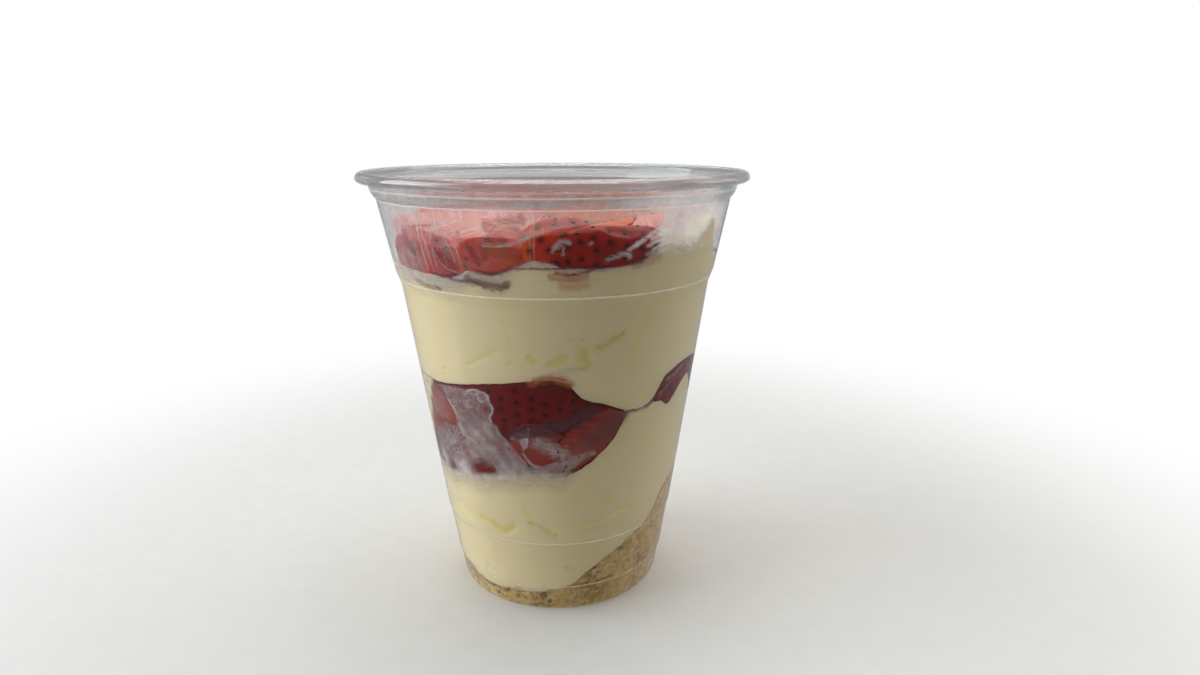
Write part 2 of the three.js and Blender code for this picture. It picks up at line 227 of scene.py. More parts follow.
# Uneven noise through the piece, of so many waves to the metre along each axis. It mottles the
# plastic, the crumb, the cream, the fruit, the juice, the smears and the floor.
mottling, asked = new_group(
    "mottling", Grain=(1.0, 1.0, 1.0), Detail=3.0, Roughness=0.5, Low=0.0, High=1.0
)
place = add_node(mottling, "TexCoord").outputs["Object"]
place = add_node(mottling, "VectorMath", {0: place, 1: asked["Grain"]}, operation="MULTIPLY")
noise = add_node(mottling, "TexNoise", {
    "Vector": place.outputs[0], "Scale": 1.0, "Detail": asked["Detail"],
    "Roughness": asked["Roughness"],
}).outputs["Fac"]
give_out(mottling, Noise=noise, Level=carried(mottling, noise, asked["Low"], asked["High"]))


def curl(radius, turns):
    """Points of the curled rim's section, which is a little flat underneath."""
    rise = np.sin(np.radians(turns))
    out = RIM_RADIUS - BEAD_RADIUS + radius * np.cos(np.radians(turns))
    up = CUP_HEIGHT - BEAD_RADIUS + radius * np.where(rise < 0, CURL_FLAT * rise, rise)
    return np.stack([out, up], -1).tolist()


curl_inside = curl(BEAD_RADIUS - CURL_SHEET, np.linspace(205, -124, CURL_STEPS))
curl_outside = curl(BEAD_RADIUS, np.linspace(236, 540, CURL_STEPS))
cup_line = np.concatenate([
    rounded(wall_line(0) + FLARE_OUTSIDE + curl_inside[:1], TURN_ROUND),
    curl_inside[1:],
    curl_outside[:-1],
    rounded(curl_outside[-1:] + FLARE_INSIDE + wall_line(WALL)[::-1], TURN_ROUND),
])
clear_plastic, tree, surface = new_material("clear_plastic", IOR=1.5, Transmission_Weight=1.0)
place = add_node(tree, "TexCoord").outputs["Object"]
height = add_node(tree, "SeparateXYZ", {"Vector": place}).outputs["Z"]
ripple, haze = mottled(tree, DRAWN_RIPPLE, 3.0, 0.02, 0.075)
collar = carried(tree, height, 0.0, 1.0, 0.1025, 0.105)
still = carried(tree, height, 1.0, 0.15, 0.101, 0.106)
finish(
    tree, surface, colour_mix(tree, collar, PLASTIC_CLEAR, PLASTIC_GREY), haze,
    (worked_out(tree, "MULTIPLY", ripple, still), 0.05, 0.0002),
)
# Seen edge on, the thin collar lets light straight through, and so does the whole cup for shadows.
light_path = add_node(tree, "LightPath")
facing = add_node(tree, "LayerWeight", {"Blend": 0.5}).outputs["Facing"]
edge_on = worked_out(tree, "MULTIPLY", carried(tree, facing, 0.0, 0.5, 0.35, 0.95), collar)
thin = worked_out(tree, "MAXIMUM", edge_on, carried(tree, height, 0.0, 0.42, 0.1062, 0.107))
straight = worked_out(tree, "MAXIMUM", thin, light_path.outputs["Is Shadow Ray"])
# Painted highlight: a white diffuse shader mixed in along each ring edge.
painted_highlights = 0.0
for edge_height, strength in RING_HIGHLIGHTS:
    away = worked_out(tree, "ABSOLUTE", worked_out(tree, "SUBTRACT", height, edge_height * MM))
    painted_highlight = carried(tree, away, strength, 0.0, 0.0, RING_HIGHLIGHT_WIDTH * MM)
    painted_highlights = worked_out(tree, "MAXIMUM", painted_highlights, painted_highlight)
painted_glint = add_node(tree, "BsdfDiffuse", {"Color": (0.97, 0.98, 0.98, 1)})
let_light_in = add_node(tree, "BsdfTransparent", {"Color": (0.93, 0.945, 0.94, 1)})
highlighted = shader_mix(tree, painted_highlights, surface.outputs["BSDF"], painted_glint.outputs["BSDF"])
either = shader_mix(tree, straight, highlighted, let_light_in.outputs["BSDF"])
tree.links.new(either, tree.nodes["Material Output"].inputs["Surface"])

points, faces = around_the_cup(*(np.tile(column, (CUP_TURNS, 1)) for column in cup_line.T))
cup = new_piece("clear_cup", points, faces, [clear_plastic])
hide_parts("cup")


# The crumb base. Biscuits crushed to grains of up to 3 mm, pressed to the foot and banked up the
# wall at the right. Against the plastic the grains are flattened, with painted shade in the gaps.
CRUMB_EDGE = [
    (-150, 10), (-100, 10), (-62, 7.5), (-42, 4.6), (-15, 5.2), (4, 6.6), (20, 13), (40, 19),
    (52, 23.5), (60, 29.5), (80, 32), (115, 25), (160, 15),
]
CRUMB_MIDDLE = 12.0
CRUMB_WALL = 28.0
CRUMB_CONTACT = 0.32
CRUMB_TURNS = 560
CRUMB_ROWS = 96
CRUMB_CELLS = 7000
COARSE_CELLS = 620
# Angle, height, half width and half height of the hollows under the cream, sunk and painted as
# shade.
CRUMB_HOLLOWS = [
    (-55, 5.3, 1.2, 0.5), (-46, 4.6, 0.9, 0.5), (-37.6, 4.0, 1.2, 0.4), (-27, 3.9, 0.9, 0.5),
    (-19.5, 4.7, 1.0, 0.5), (-9.8, 5.6, 1.3, 0.6), (-6, 4.3, 0.8, 1.0), (12.4, 10.3, 1.4, 0.5),
    (17.5, 12.1, 1.2, 0.5), (33.8, 16.2, 1.0, 0.4), (51.8, 25.9, 0.4, 0.5), (54.5, 27.6, 0.5, 0.6),
    (57.6, 29.2, 0.4, 0.5), (-3, 2.4, 0.5, 0.6), (22, 5, 0.5, 0.4), (-33, 2.2, 0.6, 0.5),
]
CRUMB_COLOURS = [
    (0.30, (0.33, 0.165, 0.042, 1)),
    (0.42, (0.59, 0.375, 0.125, 1)),
    (0.55, (0.76, 0.54, 0.225, 1)),
    (0.72, (0.90, 0.735, 0.405, 1)),
]
# Colour of the painted shade in the gaps and hollows.
CRUMB_GAP_SHADE = (0.22, 0.11, 0.035, 1)
CRUMB_TOP = 34
FLAT_CELLS = 900
FINE_CRACK = 0.16
COARSE_CRACK = 0.8

inside_line = np.array(wall_line(WALL) + FLARE_INSIDE[::-1])


def wall_radius(height):
    """Inside radius of the cup at a height above the foot's fillet."""
    return np.interp(height, inside_line[5:, 1], inside_line[5:, 0])


def angle_of(points):
    """Angle round the cup of each point, in degrees."""
    return np.degrees(np.arctan2(points[..., 0], -points[..., 1]))


def smooth(share):
    """A share held between 0 and 1, with a soft start and a soft end."""
    held = np.clip(share, 0, 1)
    return held**2 * (3 - 2 * held)


def round_the_cup(pairs, angle):
    """A smooth curve round the cup through (angle, height) pairs, which doesn't swing past them."""
    angles, heights = np.array(pairs, float).T
    angles = np.concatenate([angles - 360, angles, angles + 360])
    heights = np.tile(heights, 3)
    slopes = np.diff(heights) / np.diff(angles)
    mean = (heights[2:] - heights[:-2]) / (angles[2:] - angles[:-2])
    angle = (np.asarray(angle, float) + 180) % 360 - 180
    index = np.clip(np.searchsorted(angles, angle, side="right") - 1, 1, len(angles) - 3)
    run = angles[index + 1] - angles[index]
    share = (angle - angles[index]) / run
    steepest = 1.5 * slopes[index]
    ends = []
    for side in (index - 1, index):
        turns_back = np.sign(mean[side]) != np.sign(steepest)
        held = np.sign(mean[side]) * np.minimum(abs(mean[side]), abs(steepest))
        ends.append(np.where(turns_back, 0, held) * run)
    square, cube = share**2, share**3
    return (
        (2 * cube - 3 * square + 1) * heights[index]
        + (cube - 2 * square + share) * ends[0]
        + (3 * square - 2 * cube) * heights[index + 1]
        + (cube - square) * ends[1]
    )


def waves(points, size, seed):
    """Smooth uneven waves of about the given size through space, from about -1 to 1."""
    rng = np.random.default_rng(seed)
    total = 0
    for _ in range(9):
        direction = rng.normal(size=3)
        direction *= rng.uniform(0.7, 1.5) * 2 * np.pi / (size * np.linalg.norm(direction))
        total = total + np.sin(points @ direction + rng.uniform(0, 2 * np.pi))
    return total / 4.5


def on_wall(angle, radius, height):
    """Points from angles, radii and heights round the cup."""
    turn = np.radians(angle)
    return np.stack(np.broadcast_arrays(radius * np.sin(turn), -radius * np.cos(turn), height), -1)


def nearest_cells(points, cells):
    """Distance to the nearest and second nearest cell, and which is nearest."""
    tree = kdtree.KDTree(len(cells))
    for number, cell in enumerate(cells):
        tree.insert(cell, number)
    tree.balance()
    found = [tree.find_n(point, 2) for point in points.tolist()]
    near, which, second = zip(*[(pair[0][2], pair[0][1], pair[1][2]) for pair in found])
    return np.array(near), np.array(second), np.array(which)


def paint(piece, name, values):
    """One number for each vertex, which the materials read by its name."""
    layer = piece.data.attributes.new(name, "FLOAT", "POINT")
    layer.data.foreach_set("value", np.asarray(values, np.float32))


def crumb_face(edge, radius):
    """Height of the top of the crumb, from its middle out to its edge at the wall."""
    return CRUMB_MIDDLE + (edge[:, None] - CRUMB_MIDDLE) * smooth(radius / CRUMB_WALL)


turn = np.arange(CRUMB_TURNS) * 360 / CRUMB_TURNS
rng = np.random.default_rng(11)
foot = inside_line[:6]
edge = round_the_cup(CRUMB_EDGE, turn)
at_edge = on_wall(turn, CRUMB_WALL, edge)
edge = edge + 0.5 * waves(at_edge, 5, 12) + 0.3 * waves(at_edge, 1.8, 13)
wall_height = foot[-1, 1] + (edge[:, None] - foot[-1, 1]) * np.linspace(0, 1, CRUMB_ROWS)
wall_part = wall_radius(wall_height) + CRUMB_CONTACT
top_radius = wall_part[:, -1:] * np.linspace(1, 0, 10)[1:]
under = rounded(foot, 0.4, 3)[None, :-1, :]
under = np.concatenate([
    np.linspace(0, 1, 24)[None, :-1, None] * (under[:, 1:2] - under[:, :1]) + under[:, :1],
    under[:, 1:],
], axis=1)
under = np.tile(under, (CRUMB_TURNS, 1, 1))
under_radius = under[..., 0] + CRUMB_CONTACT * (under[..., 0] > 0)
points, faces = around_the_cup(
    np.concatenate([under_radius, wall_part, top_radius], 1),
    np.concatenate([under[..., 1] - CRUMB_CONTACT, wall_height, crumb_face(edge, top_radius)], 1),
)
cell_height = rng.uniform(0, CRUMB_TOP, CRUMB_CELLS)
cell_radius = wall_radius(cell_height) - rng.uniform(0, 1.2, CRUMB_CELLS)
cells = on_wall(rng.uniform(0, 360, CRUMB_CELLS), cell_radius, cell_height)
flat_angle = rng.uniform(0, 360, FLAT_CELLS)
flat_cells = on_wall(flat_angle, 27 * np.sqrt(rng.uniform(0, 1, FLAT_CELLS)), 1.8)
cells = np.concatenate([cells, flat_cells])
near, second, which = nearest_cells(points, cells)
fine_crack = np.exp(-((second - near) / FINE_CRACK) ** 2)
fine_tone = rng.uniform(0, 1, len(cells))[which]
coarse_height = rng.uniform(0, CRUMB_TOP, COARSE_CELLS)
coarse_angle = rng.uniform(0, 360, COARSE_CELLS)
coarse = on_wall(coarse_angle, wall_radius(coarse_height) - 0.6, coarse_height)
near, second, which = nearest_cells(points, coarse)
coarse_crack = np.exp(-((second - near) / COARSE_CRACK) ** 2)
coarse_crack *= smooth(waves(points, 1.6, 18) + 0.55)
coarse_tone = rng.uniform(0, 1, len(coarse))[which]
angle, height = angle_of(points), points[:, 2]
# Lumps are plain low round the cup and at the left of its front, where the crumb was pressed less.
lumpy = smooth((waves(points, 16, 15) + 0.5) / 1.2) * smooth((16 - height) / 6)
lumpy = np.maximum(lumpy, smooth((6 - angle) / 14) * smooth((angle + 80) / 15))
hollow = np.zeros(len(points))
for at_angle, at_height, wide, tall in CRUMB_HOLLOWS:
    out = np.hypot((angle - at_angle) * 0.5 / wide, (height - at_height) / tall)
    hollow = np.maximum(hollow, smooth((1.5 + 0.35 * waves(points, 1.2, 16) - out) / 0.9))
pocket = smooth(waves(points, 2.6, 14) * 2.2 - 1.3)
speck = smooth(waves(points, 0.9, 17) * 1.3 - 0.2)
lump_crack = coarse_crack * lumpy
depth = 0.05 * fine_crack + 0.28 * lump_crack + 0.7 * hollow + 0.1 * speck + 0.12 * pocket
depth *= height > 0.7
from_axis = np.linalg.norm(points[:, :2], axis=1, keepdims=True)
points[:, :2] -= points[:, :2] / np.maximum(from_axis, 1e-6) * depth[:, None] * (from_axis > 24)
cell_tone = 0.55 * fine_tone + 0.45 * (coarse_tone * lumpy + 0.6 * (1 - lumpy))
# Painted shade in the cracks, hollows and pockets, with the crumb's own darker specks.
gap = np.clip(0.5 * lump_crack + 0.9 * hollow + 0.25 * pocket + 0.12 * speck, 0, 0.95)


def add_attribute(tree, name):
    """The value painted on a piece's points under this name."""
    return add_node(tree, "Attribute", attribute_name=name).outputs["Fac"]


def ramp_between(tree, share, colours):
    """Colour that follows a value through (position, colour) stops."""
    ramp = add_node(tree, "ValToRGB", {"Fac": share})
    stops = ramp.color_ramp.elements
    for number, (position, colour) in enumerate(colours):
        stop = stops[number] if number < 2 else stops.new(position)
        stop.position, stop.color = position, colour
    return ramp.outputs["Color"]


crumb_material, tree, surface = new_material("biscuit_crumb", Roughness=0.85)
fine, _ = mottled(tree, 780.0, 7.0, roughness=0.8)
tone = worked_out(tree, "MULTIPLY_ADD", add_attribute(tree, "tone"), 0.26, fine)
baked = ramp_between(tree, carried(tree, tone, 0.0, 1.0, 0.1, 1.1), CRUMB_COLOURS)
# The gaps and hollows are painted dark as shade.
shaded_crumb = colour_mix(tree, add_attribute(tree, "gap"), baked, CRUMB_GAP_SHADE)
finish(tree, surface, shaded_crumb, relief=(fine, 0.6, 0.0004))

crumb = new_piece("biscuit_crumb_base", points, faces, [crumb_material])
paint(crumb, "tone", cell_tone)
paint(crumb, "gap", gap)
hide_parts("biscuit_crumb")


# The lower cream. Thick pale custard spooned over the crumbs and pressed to the plastic, where it
# lies smooth, with a few long pits that it never filled. It dips under the strawberries.
BAND_BOTTOM = [
    (-120, 43), (-90, 39), (-58, 35), (-40, 36.5), (-10, 40), (6, 40.8), (18, 45), (25, 49.5),
    (30, 55.3), (37, 55.2), (44, 56.6), (52, 55), (60, 58.4), (67, 60.5), (80, 52), (110, 46),
    (150, 44), (190, 47),
]
BAND_TOP = [
    (-120, 60), (-90, 60.5), (-50, 60.5), (-22, 63.2), (0, 65), (6, 64.3), (12, 60.2), (21, 58),
    (30, 55.8), (37, 55.7), (42, 57.5), (48, 62.3), (56, 64), (66, 64.4), (80, 63), (110, 60.5),
    (150, 62), (190, 62.5),
]
BAND_MIDDLE = 56.0
BAND_WALL = 33.0
BAND_DEPTH = 6.0
CREAM_CONTACT = 0.1
CREAM_TURNS = 480
CREAM_ROWS = 92
INNER_ROWS = 16
EDGE_ROUND = 0.5
CREAM_COLOUR = (0.87, 0.745, 0.475, 1)
CREAM_DEEP = (0.83, 0.68, 0.37, 1)
PIT_YELLOW = (0.86, 0.68, 0.22, 1)
# The middle of the deepest pits is painted brown as shade.
PIT_SHADE_BROWN = (0.46, 0.30, 0.08, 1)
# Each pit that shows in the lower cream: its line of (angle, height), its width and its strength.
LOWER_PITS = [
    ([(-50.5, 26.1), (-46.8, 25), (-43.5, 23.9)], 0.9, 0.55),
    ([(-35.1, 25.6), (-29.6, 25.1), (-25.5, 23.8), (-22.2, 23.8), (-18.7, 25.2)], 0.95, 0.9),
    ([(-11.6, 30.5), (-10, 29.4)], 0.8, 0.7),
    ([(-10.2, 26.8), (-6.7, 26.4), (-3.2, 25.3), (-0.4, 24.1), (2.7, 23.4)], 0.35, 1.0),
    ([(-2.5, 24.6), (-0.4, 24), (1.8, 23.4)], 0.7, 0.7),
    ([(13.4, 25.7), (18.2, 25.8), (22.7, 26.4), (24.8, 28)], 0.6, 0.75),
    ([(26.5, 27.1), (30.5, 27.7), (34.8, 27.8)], 0.9, 0.5),
    ([(24.4, 32.7), (25.8, 32.5)], 0.6, 0.9),
    ([(10.4, 33.5), (11.8, 33.9)], 0.6, 0.6),
    ([(6.7, 13.4), (10.6, 12.9)], 0.35, 0.8),
    ([(-37.4, 9.8), (-34.4, 8.8)], 0.9, 0.4),
]
PIT_DEPTH = 0.3
PIT_NEAR = 14
# Angles between which the scattered pits of the sides and back start.
PITS_FROM, PITS_TO = 77, 278


def smoothed(line, steps=5):
    """A line drawn smoothly through its points."""
    line = np.array(line, float)
    before, after = np.vstack([line[:1], line[:-2]]), np.vstack([line[2:], line[-1:]])
    start, end = line[:-1], line[1:]
    drawn = []
    for share in np.linspace(0, 1, steps, endpoint=False):
        bent = (2 * before - 5 * start + 4 * end - after) * share**2
        swung = (3 * start - 3 * end + after - before) * share**3
        drawn.append(0.5 * (2 * start + (end - before) * share + bent + swung))
    return np.vstack([np.stack(drawn, 1).reshape(-1, 2), line[-1:]])


def gap_to_line(places, line):
    """Distance of each place from a line of points."""
    gap = np.full(len(places), 99.0)
    for start, end in zip(line, line[1:]):
        run = end - start
        share = np.clip((places - start) @ run / max(run @ run, 1e-9), 0, 1)
        gap = np.minimum(gap, np.linalg.norm(places - start - share[:, None] * run, axis=1))
    return gap


def pits_at(points, pits):
    """How far into a pit each point of a wall surface is, from 0 outside to 1 at its middle."""
    sunk = np.zeros(len(points))
    angle = angle_of(points)
    wander = 1 + 0.16 * waves(points, 2.4, 31)
    for line, width, strength in pits:
        line = np.array(line, float)
        middle = line.mean(0)
        scale = np.radians(wall_radius(middle[1]))
        beside = (angle - middle[0] + 180) % 360 - 180
        close = (abs(beside * scale) < PIT_NEAR) & (abs(points[:, 2] - middle[1]) < PIT_NEAR)
        places = np.stack([beside[close] * scale, points[close, 2]], -1)
        gap = gap_to_line(places, (smoothed(line) - (middle[0], 0)) * (scale, 1))
        deep = strength * smooth((1.75 * wander[close] - gap / width) / 1.1)
        sunk[close] = np.maximum(sunk[close], deep)
    return sunk


def scattered_pits(count, low, high, seed):
    """Pits round the sides and back, of the same kinds."""
    rng = np.random.default_rng(seed)
    pits = []
    for _ in range(count):
        angle, height = rng.uniform(PITS_FROM, PITS_TO), rng.uniform(low, high)
        run, rise = rng.uniform(1, 6), rng.uniform(-1.5, 1.5)
        line = [(angle, height), (angle + run, height + rise * 0.3),
                (angle + 2 * run, height + rise)]
        pits.append((line, rng.uniform(0.4, 1.0), rng.uniform(0.4, 0.9)))
    return pits


def cream_layer(name, bottom, top, under_at, over_at, pits):
    """One cream layer: pressed to the wall from bottom to top, with its two faces rounding away."""
    share = (1 - np.cos(np.linspace(0, np.pi, CREAM_ROWS))) / 2
    height = bottom[:, None] + (top - bottom)[:, None] * share
    radius = wall_radius(height) + CREAM_CONTACT
    from_edge = np.minimum(height - bottom[:, None], top[:, None] - height)
    bend = EDGE_ROUND - np.sqrt(EDGE_ROUND**2 - np.clip(EDGE_ROUND - from_edge, 0, EDGE_ROUND) ** 2)
    radius = radius - bend
    in_share = np.linspace(0, 1, INNER_ROWS)[:-1]
    under_radius = radius[:, :1] * in_share
    over_radius = radius[:, -1:] * in_share[::-1]
    under_height = under_at(under_radius)
    over_height = over_at(over_radius)
    under_height += (bottom[:, None] - under_height[:, -1:]) * smooth((in_share - 0.9) / 0.1)
    over_height += (top[:, None] - over_height[:, :1]) * smooth((in_share[::-1] - 0.9) / 0.1)
    points, faces = around_the_cup(
        np.concatenate([under_radius, radius, over_radius], 1),
        np.concatenate([under_height, height, over_height], 1),
    )
    sunk = pits_at(points, pits)
    level = np.linalg.norm(points[:, :2], axis=1)
    at_wall = smooth((level - wall_radius(points[:, 2]) + 3) / 2)
    swell = 0.25 * waves(points, 6, 33) * (1 - at_wall)
    reach = np.maximum(level, 1e-6)
    points[:, :2] *= (1 - (PIT_DEPTH * sunk * at_wall) / reach)[:, None]
    points[:, 2] += swell
    piece = new_piece(name, points, faces, [cream_material])
    paint(piece, "pit", sunk * at_wall)
    return piece


cream_material, tree, surface = new_material(
    "custard_cream", Subsurface_Weight=0.25, Subsurface_Scale=0.003, Specular_IOR_Level=0.4,
    Subsurface_Radius=(1.0, 0.7, 0.35),
)
broad, _ = mottled(tree, 45.0, 3.0)
spread, wet = mottled(tree, (60, 60, 420), 4.0, 0.32, 0.55)
pit = add_attribute(tree, "pit")
patchy = carried(tree, worked_out(tree, "ADD", broad, spread), 0.0, 0.3, 0.75, 1.25)
custard = colour_mix(tree, patchy, CREAM_COLOUR, CREAM_DEEP)
custard = colour_mix(tree, carried(tree, pit, 0.0, 1.0, 0.0, 0.8), custard, PIT_YELLOW)
# Painted shade: brown in the deepest middle of each pit.
custard = colour_mix(tree, carried(tree, pit, 0.0, 0.7, 0.85, 1.0), custard, PIT_SHADE_BROWN)
finish(tree, surface, custard, wet, (spread, 0.15, 0.0004))

turn = np.arange(CREAM_TURNS) * 360 / CREAM_TURNS
ring_points = on_wall(turn, BAND_WALL, 0 * turn)
uneven = 0.35 * waves(ring_points, 4, 41) + 0.2 * waves(ring_points, 1.7, 42)
crumb_line = round_the_cup(CRUMB_EDGE, turn)
band_bottom = round_the_cup(BAND_BOTTOM, turn)
band_top = round_the_cup(BAND_TOP, turn)


def meeting_height(radius):
    """Height where the two creams would meet if nothing lay between them."""
    edge = (band_bottom + band_top)[:, None] / 2
    return BAND_MIDDLE + (edge - BAND_MIDDLE) * smooth(radius / BAND_WALL)


def band_face(edge, radius):
    """The face of a cream towards the strawberries: level inside, and parting near the wall."""
    meet = meeting_height(radius)
    return meet + (edge[:, None] - meet) * smooth((radius - BAND_WALL + BAND_DEPTH) / BAND_DEPTH)


lower_cream = cream_layer(
    "lower_cream", crumb_line - 0.4, band_bottom + 0.6 * uneven, partial(crumb_face, crumb_line),
    partial(band_face, band_bottom), LOWER_PITS + scattered_pits(22, 22, 38, 51),
)
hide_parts("cream_lower")


# The strawberries. Ripe fruit cut into halves, wedges and slabs: glossy dark red skin with the
# seeds sunk in dimples, and wet cut faces, pale in the middle with light veins out to the skin.
BERRY_TAPER = 0.28
BERRY_BLUNTNESS = 0.8
BERRY_FULLNESS = 0.95
BERRY_SINK = 1.3
SHEET_CONTACT = 0.05
SEED_STEP = 2.6
SEED_SIZE = (0.5, 0.28, 0.2)
SEED_LIFT = 0.08
DIMPLE_RADIUS = 0.85
DIMPLE_DEPTH = 0.4
WEDGE_HALF_ANGLE = 50
SLAB_NEAR = 0.12
SLAB_FAR = 0.38
# How gently a piece is pressed flat, and the height above which nothing is pressed.
PRESS_SOFT = 0.25
PRESS_TOP = 103
END_TURN = 0.02
SKIN_DARK = (0.215, 0.014, 0.014, 1)
SKIN_BRIGHT = (0.60, 0.035, 0.02, 1)
SKIN_ORANGE = (0.80, 0.17, 0.03, 1)
FLESH_RED = (0.60, 0.075, 0.045, 1)
FLESH_PINK = (0.80, 0.32, 0.27, 1)
FLESH_PALE = (0.90, 0.66, 0.55, 1)
JUICE_SOAKED = (0.30, 0.035, 0.022, 1)
# Dimples are painted this dark, a painted shade in the hollows round the seeds.
DIMPLE_SHADE = (0.06, 0.006, 0.006, 1)
SEED_HUSK = [(0.03, 0.006, 0.005, 1), (0.16, 0.04, 0.015, 1)]
# The dark sheet behind the band's pieces: juice, and painted shade in the gaps between them.
JUICE_AND_GAP_SHADE = [(0.09, 0.010, 0.012, 1), (0.24, 0.035, 0.030, 1)]
VEIN_GRAIN = (16, 1.5, 30)


def draw(number):
    """A repeatable draw from 0 to 1 for each whole number."""
    value = np.sin(number * 12.9898 + 4.1414) * 43758.5453
    return value - np.floor(value)


def drawn_sizes(number, ranges):
    """One repeatable draw between the limits of each size, for one piece."""
    sizes = {}
    for step, (name, (least, most)) in enumerate(ranges.items()):
        sizes[name] = least + (most - least) * draw(number + 20 * step)
    return sizes


def on_the_wall(angle, height, length, width, rise, press, ripe, face_out=False, **rest):
    """A piece with its skin, or with face_out its cut face, pressed against the wall."""
    reach = 0 if face_out else width / 2
    lie = dict(angle=angle, height=height, length=length, width=width, rise=rise, ripe=ripe)
    lie.update(cut="half", roll=180 if face_out else 0, detail=2.4)
    lie["out"] = wall_radius(height) - reach + press
    return {**lie, **rest}


# How far round the fruit the skin of each kind of piece reaches.
SKIN_TURN = {"half": 180, "wedge": 2 * WEDGE_HALF_ANGLE, "slab": 90}


def berry_shape(cut, reach, width, fine):
    """Section of a piece across its length: points (y, z) for a fruit of radius reach, and for each
    point whether it lies on a cut face. The line runs round from the skin to the cut faces."""
    arc_steps = max(int(width / 2 * np.radians(SKIN_TURN[cut]) * fine), 12)
    cut_steps = max(int(width / 2 * fine), 6)
    if cut == "slab":
        near, far = SLAB_NEAR * width, np.minimum(SLAB_FAR * width, reach)
        wide = np.arccos(np.clip(near / reach, -1, 1))
        narrow = np.arccos(np.clip(far / reach, -1, 1))
        side = np.linspace(0, 1, arc_steps // 2)[None]
        right = wide[:, None] + (narrow - wide)[:, None] * side
        rows = [(reach[:, None] * np.sin(arc), reach[:, None] * np.cos(arc))
                for arc in (right, -right[:, ::-1])]
        across = np.linspace(1, -1, cut_steps)[None, 1:-1]
        half_far, half_near = (reach * np.sin(narrow))[:, None], (reach * np.sin(wide))[:, None]
        far_row = (half_far * across, far[:, None] + 0 * across)
        near_row = (-half_near * across, near + 0 * half_near * across)
        parts = [(rows[0], 0), (far_row, 1), (rows[1], 0), (near_row, 1)]
    else:
        half = SKIN_TURN[cut] / 2
        arc = np.radians(np.linspace(half, -half, arc_steps))[None]
        end = np.radians(half)
        side, up = reach[:, None] * np.sin(end), reach[:, None] * np.cos(end)
        inwards = np.linspace(1, 0, cut_steps)[None, 1:]
        outwards = inwards[:, ::-1][:, 1:]
        parts = [
            ((reach[:, None] * np.sin(arc), reach[:, None] * np.cos(arc)), 0),
            ((-side * inwards, up * inwards), 1),
            ((side * outwards, up * outwards), 1),
        ]
    y = np.concatenate([part[0] for part, _ in parts], 1)
    z = np.concatenate([part[1] for part, _ in parts], 1)
    on_cut = np.concatenate([np.full(part[0].shape[1], flag) for part, flag in parts])
    return y, z, on_cut


def placement(angle, out, height, heading=0, rise=0, roll=0, **_):
    """The piece's own axes in the cup: along the wall, up and outwards, then turned as it lies."""
    turn = np.radians(angle)
    basis = Matrix((
        (np.cos(turn), 0, np.sin(turn)),
        (np.sin(turn), 0, -np.cos(turn)),
        (0, 1, 0),
    ))
    lie = Matrix.Rotation(np.radians(heading), 3, "Y") @ Matrix.Rotation(np.radians(rise), 3, "Z")
    lie = basis @ lie @ Matrix.Rotation(np.radians(roll), 3, "X")
    middle = (out * np.sin(turn), -out * np.cos(turn), height)
    return np.array(lie), np.array(middle)


def seed_places(length, reach_at, seed):
    """Middle of each seed on the whole fruit: turn along it and round it, in staggered rows."""
    rng = np.random.default_rng(seed)
    places = []
    rows = int(length * 1.15 / SEED_STEP)
    for row in range(1, rows):
        turn_along = np.pi * row / rows
        count = max(int(2 * np.pi * reach_at(turn_along) / (SEED_STEP * 1.12)), 3)
        for n in range(count):
            around = 2 * np.pi * (n + 0.5 * (row % 2) + rng.uniform(-0.12, 0.12)) / count
            places.append((turn_along + rng.uniform(-0.1, 0.1) * np.pi / rows, around))
    return places


def grid_normals(points):
    """Outward normals of a grid of points that closes on itself across its second direction."""
    along = np.gradient(points, axis=0)
    around = np.roll(points, -1, axis=1) - np.roll(points, 1, axis=1)
    normal = np.cross(around, along)
    return normal / np.maximum(np.linalg.norm(normal, axis=-1, keepdims=True), 1e-9)


def seed_shape():
    """A small pointed oval of unit size."""
    rings = [(-1.0, 0.0), (-0.4, 0.95), (0.5, 0.8), (1.0, 0.0)]
    points = [(rings[0][0], 0, 0), (rings[-1][0], 0, 0)]
    for along, reach in rings[1:-1]:
        points += [(along, reach * np.cos(t), reach * np.sin(t))
                   for t in np.radians(range(0, 360, 60))]
    faces = []
    for n in range(6):
        after = (n + 1) % 6
        side = (2 + n, 2 + after, 8 + after, 8 + n)
        faces += [(0, side[1], side[0]), side, (1, side[3], side[2])]
    return np.array(points, float) * SEED_SIZE, faces


SEED_POINTS, SEED_FACES = seed_shape()


def half_turn(turn):
    """The same turn between minus and plus half a turn."""
    return (turn + np.pi) % (2 * np.pi) - np.pi


def held_in_cup(placed, contact, low, high):
    """A piece's points held softly inside the wall, sunk away from it past the edges of the creams
    under and over it, and how hard each point is pressed to the plastic."""
    out = np.linalg.norm(placed[..., :2], axis=-1)
    angle, height = angle_of(placed), placed[..., 2]
    past = round_the_cup(low, angle) - height
    if high is not None:
        past = np.maximum(past, height - round_the_cup(high, angle))
    limit = wall_radius(height) + contact - BERRY_SINK * smooth(past + 0.5)
    over = np.clip(out - limit + PRESS_SOFT, 0, 50)
    eased = limit - PRESS_SOFT * np.exp(-over / PRESS_SOFT)
    held = np.minimum(np.where(out - limit > -PRESS_SOFT, eased, out), out)
    placed[..., :2] *= (held / np.maximum(out, 1e-6))[..., None]
    return placed, smooth((held - limit + 0.9) / 0.6) * (height < PRESS_TOP)


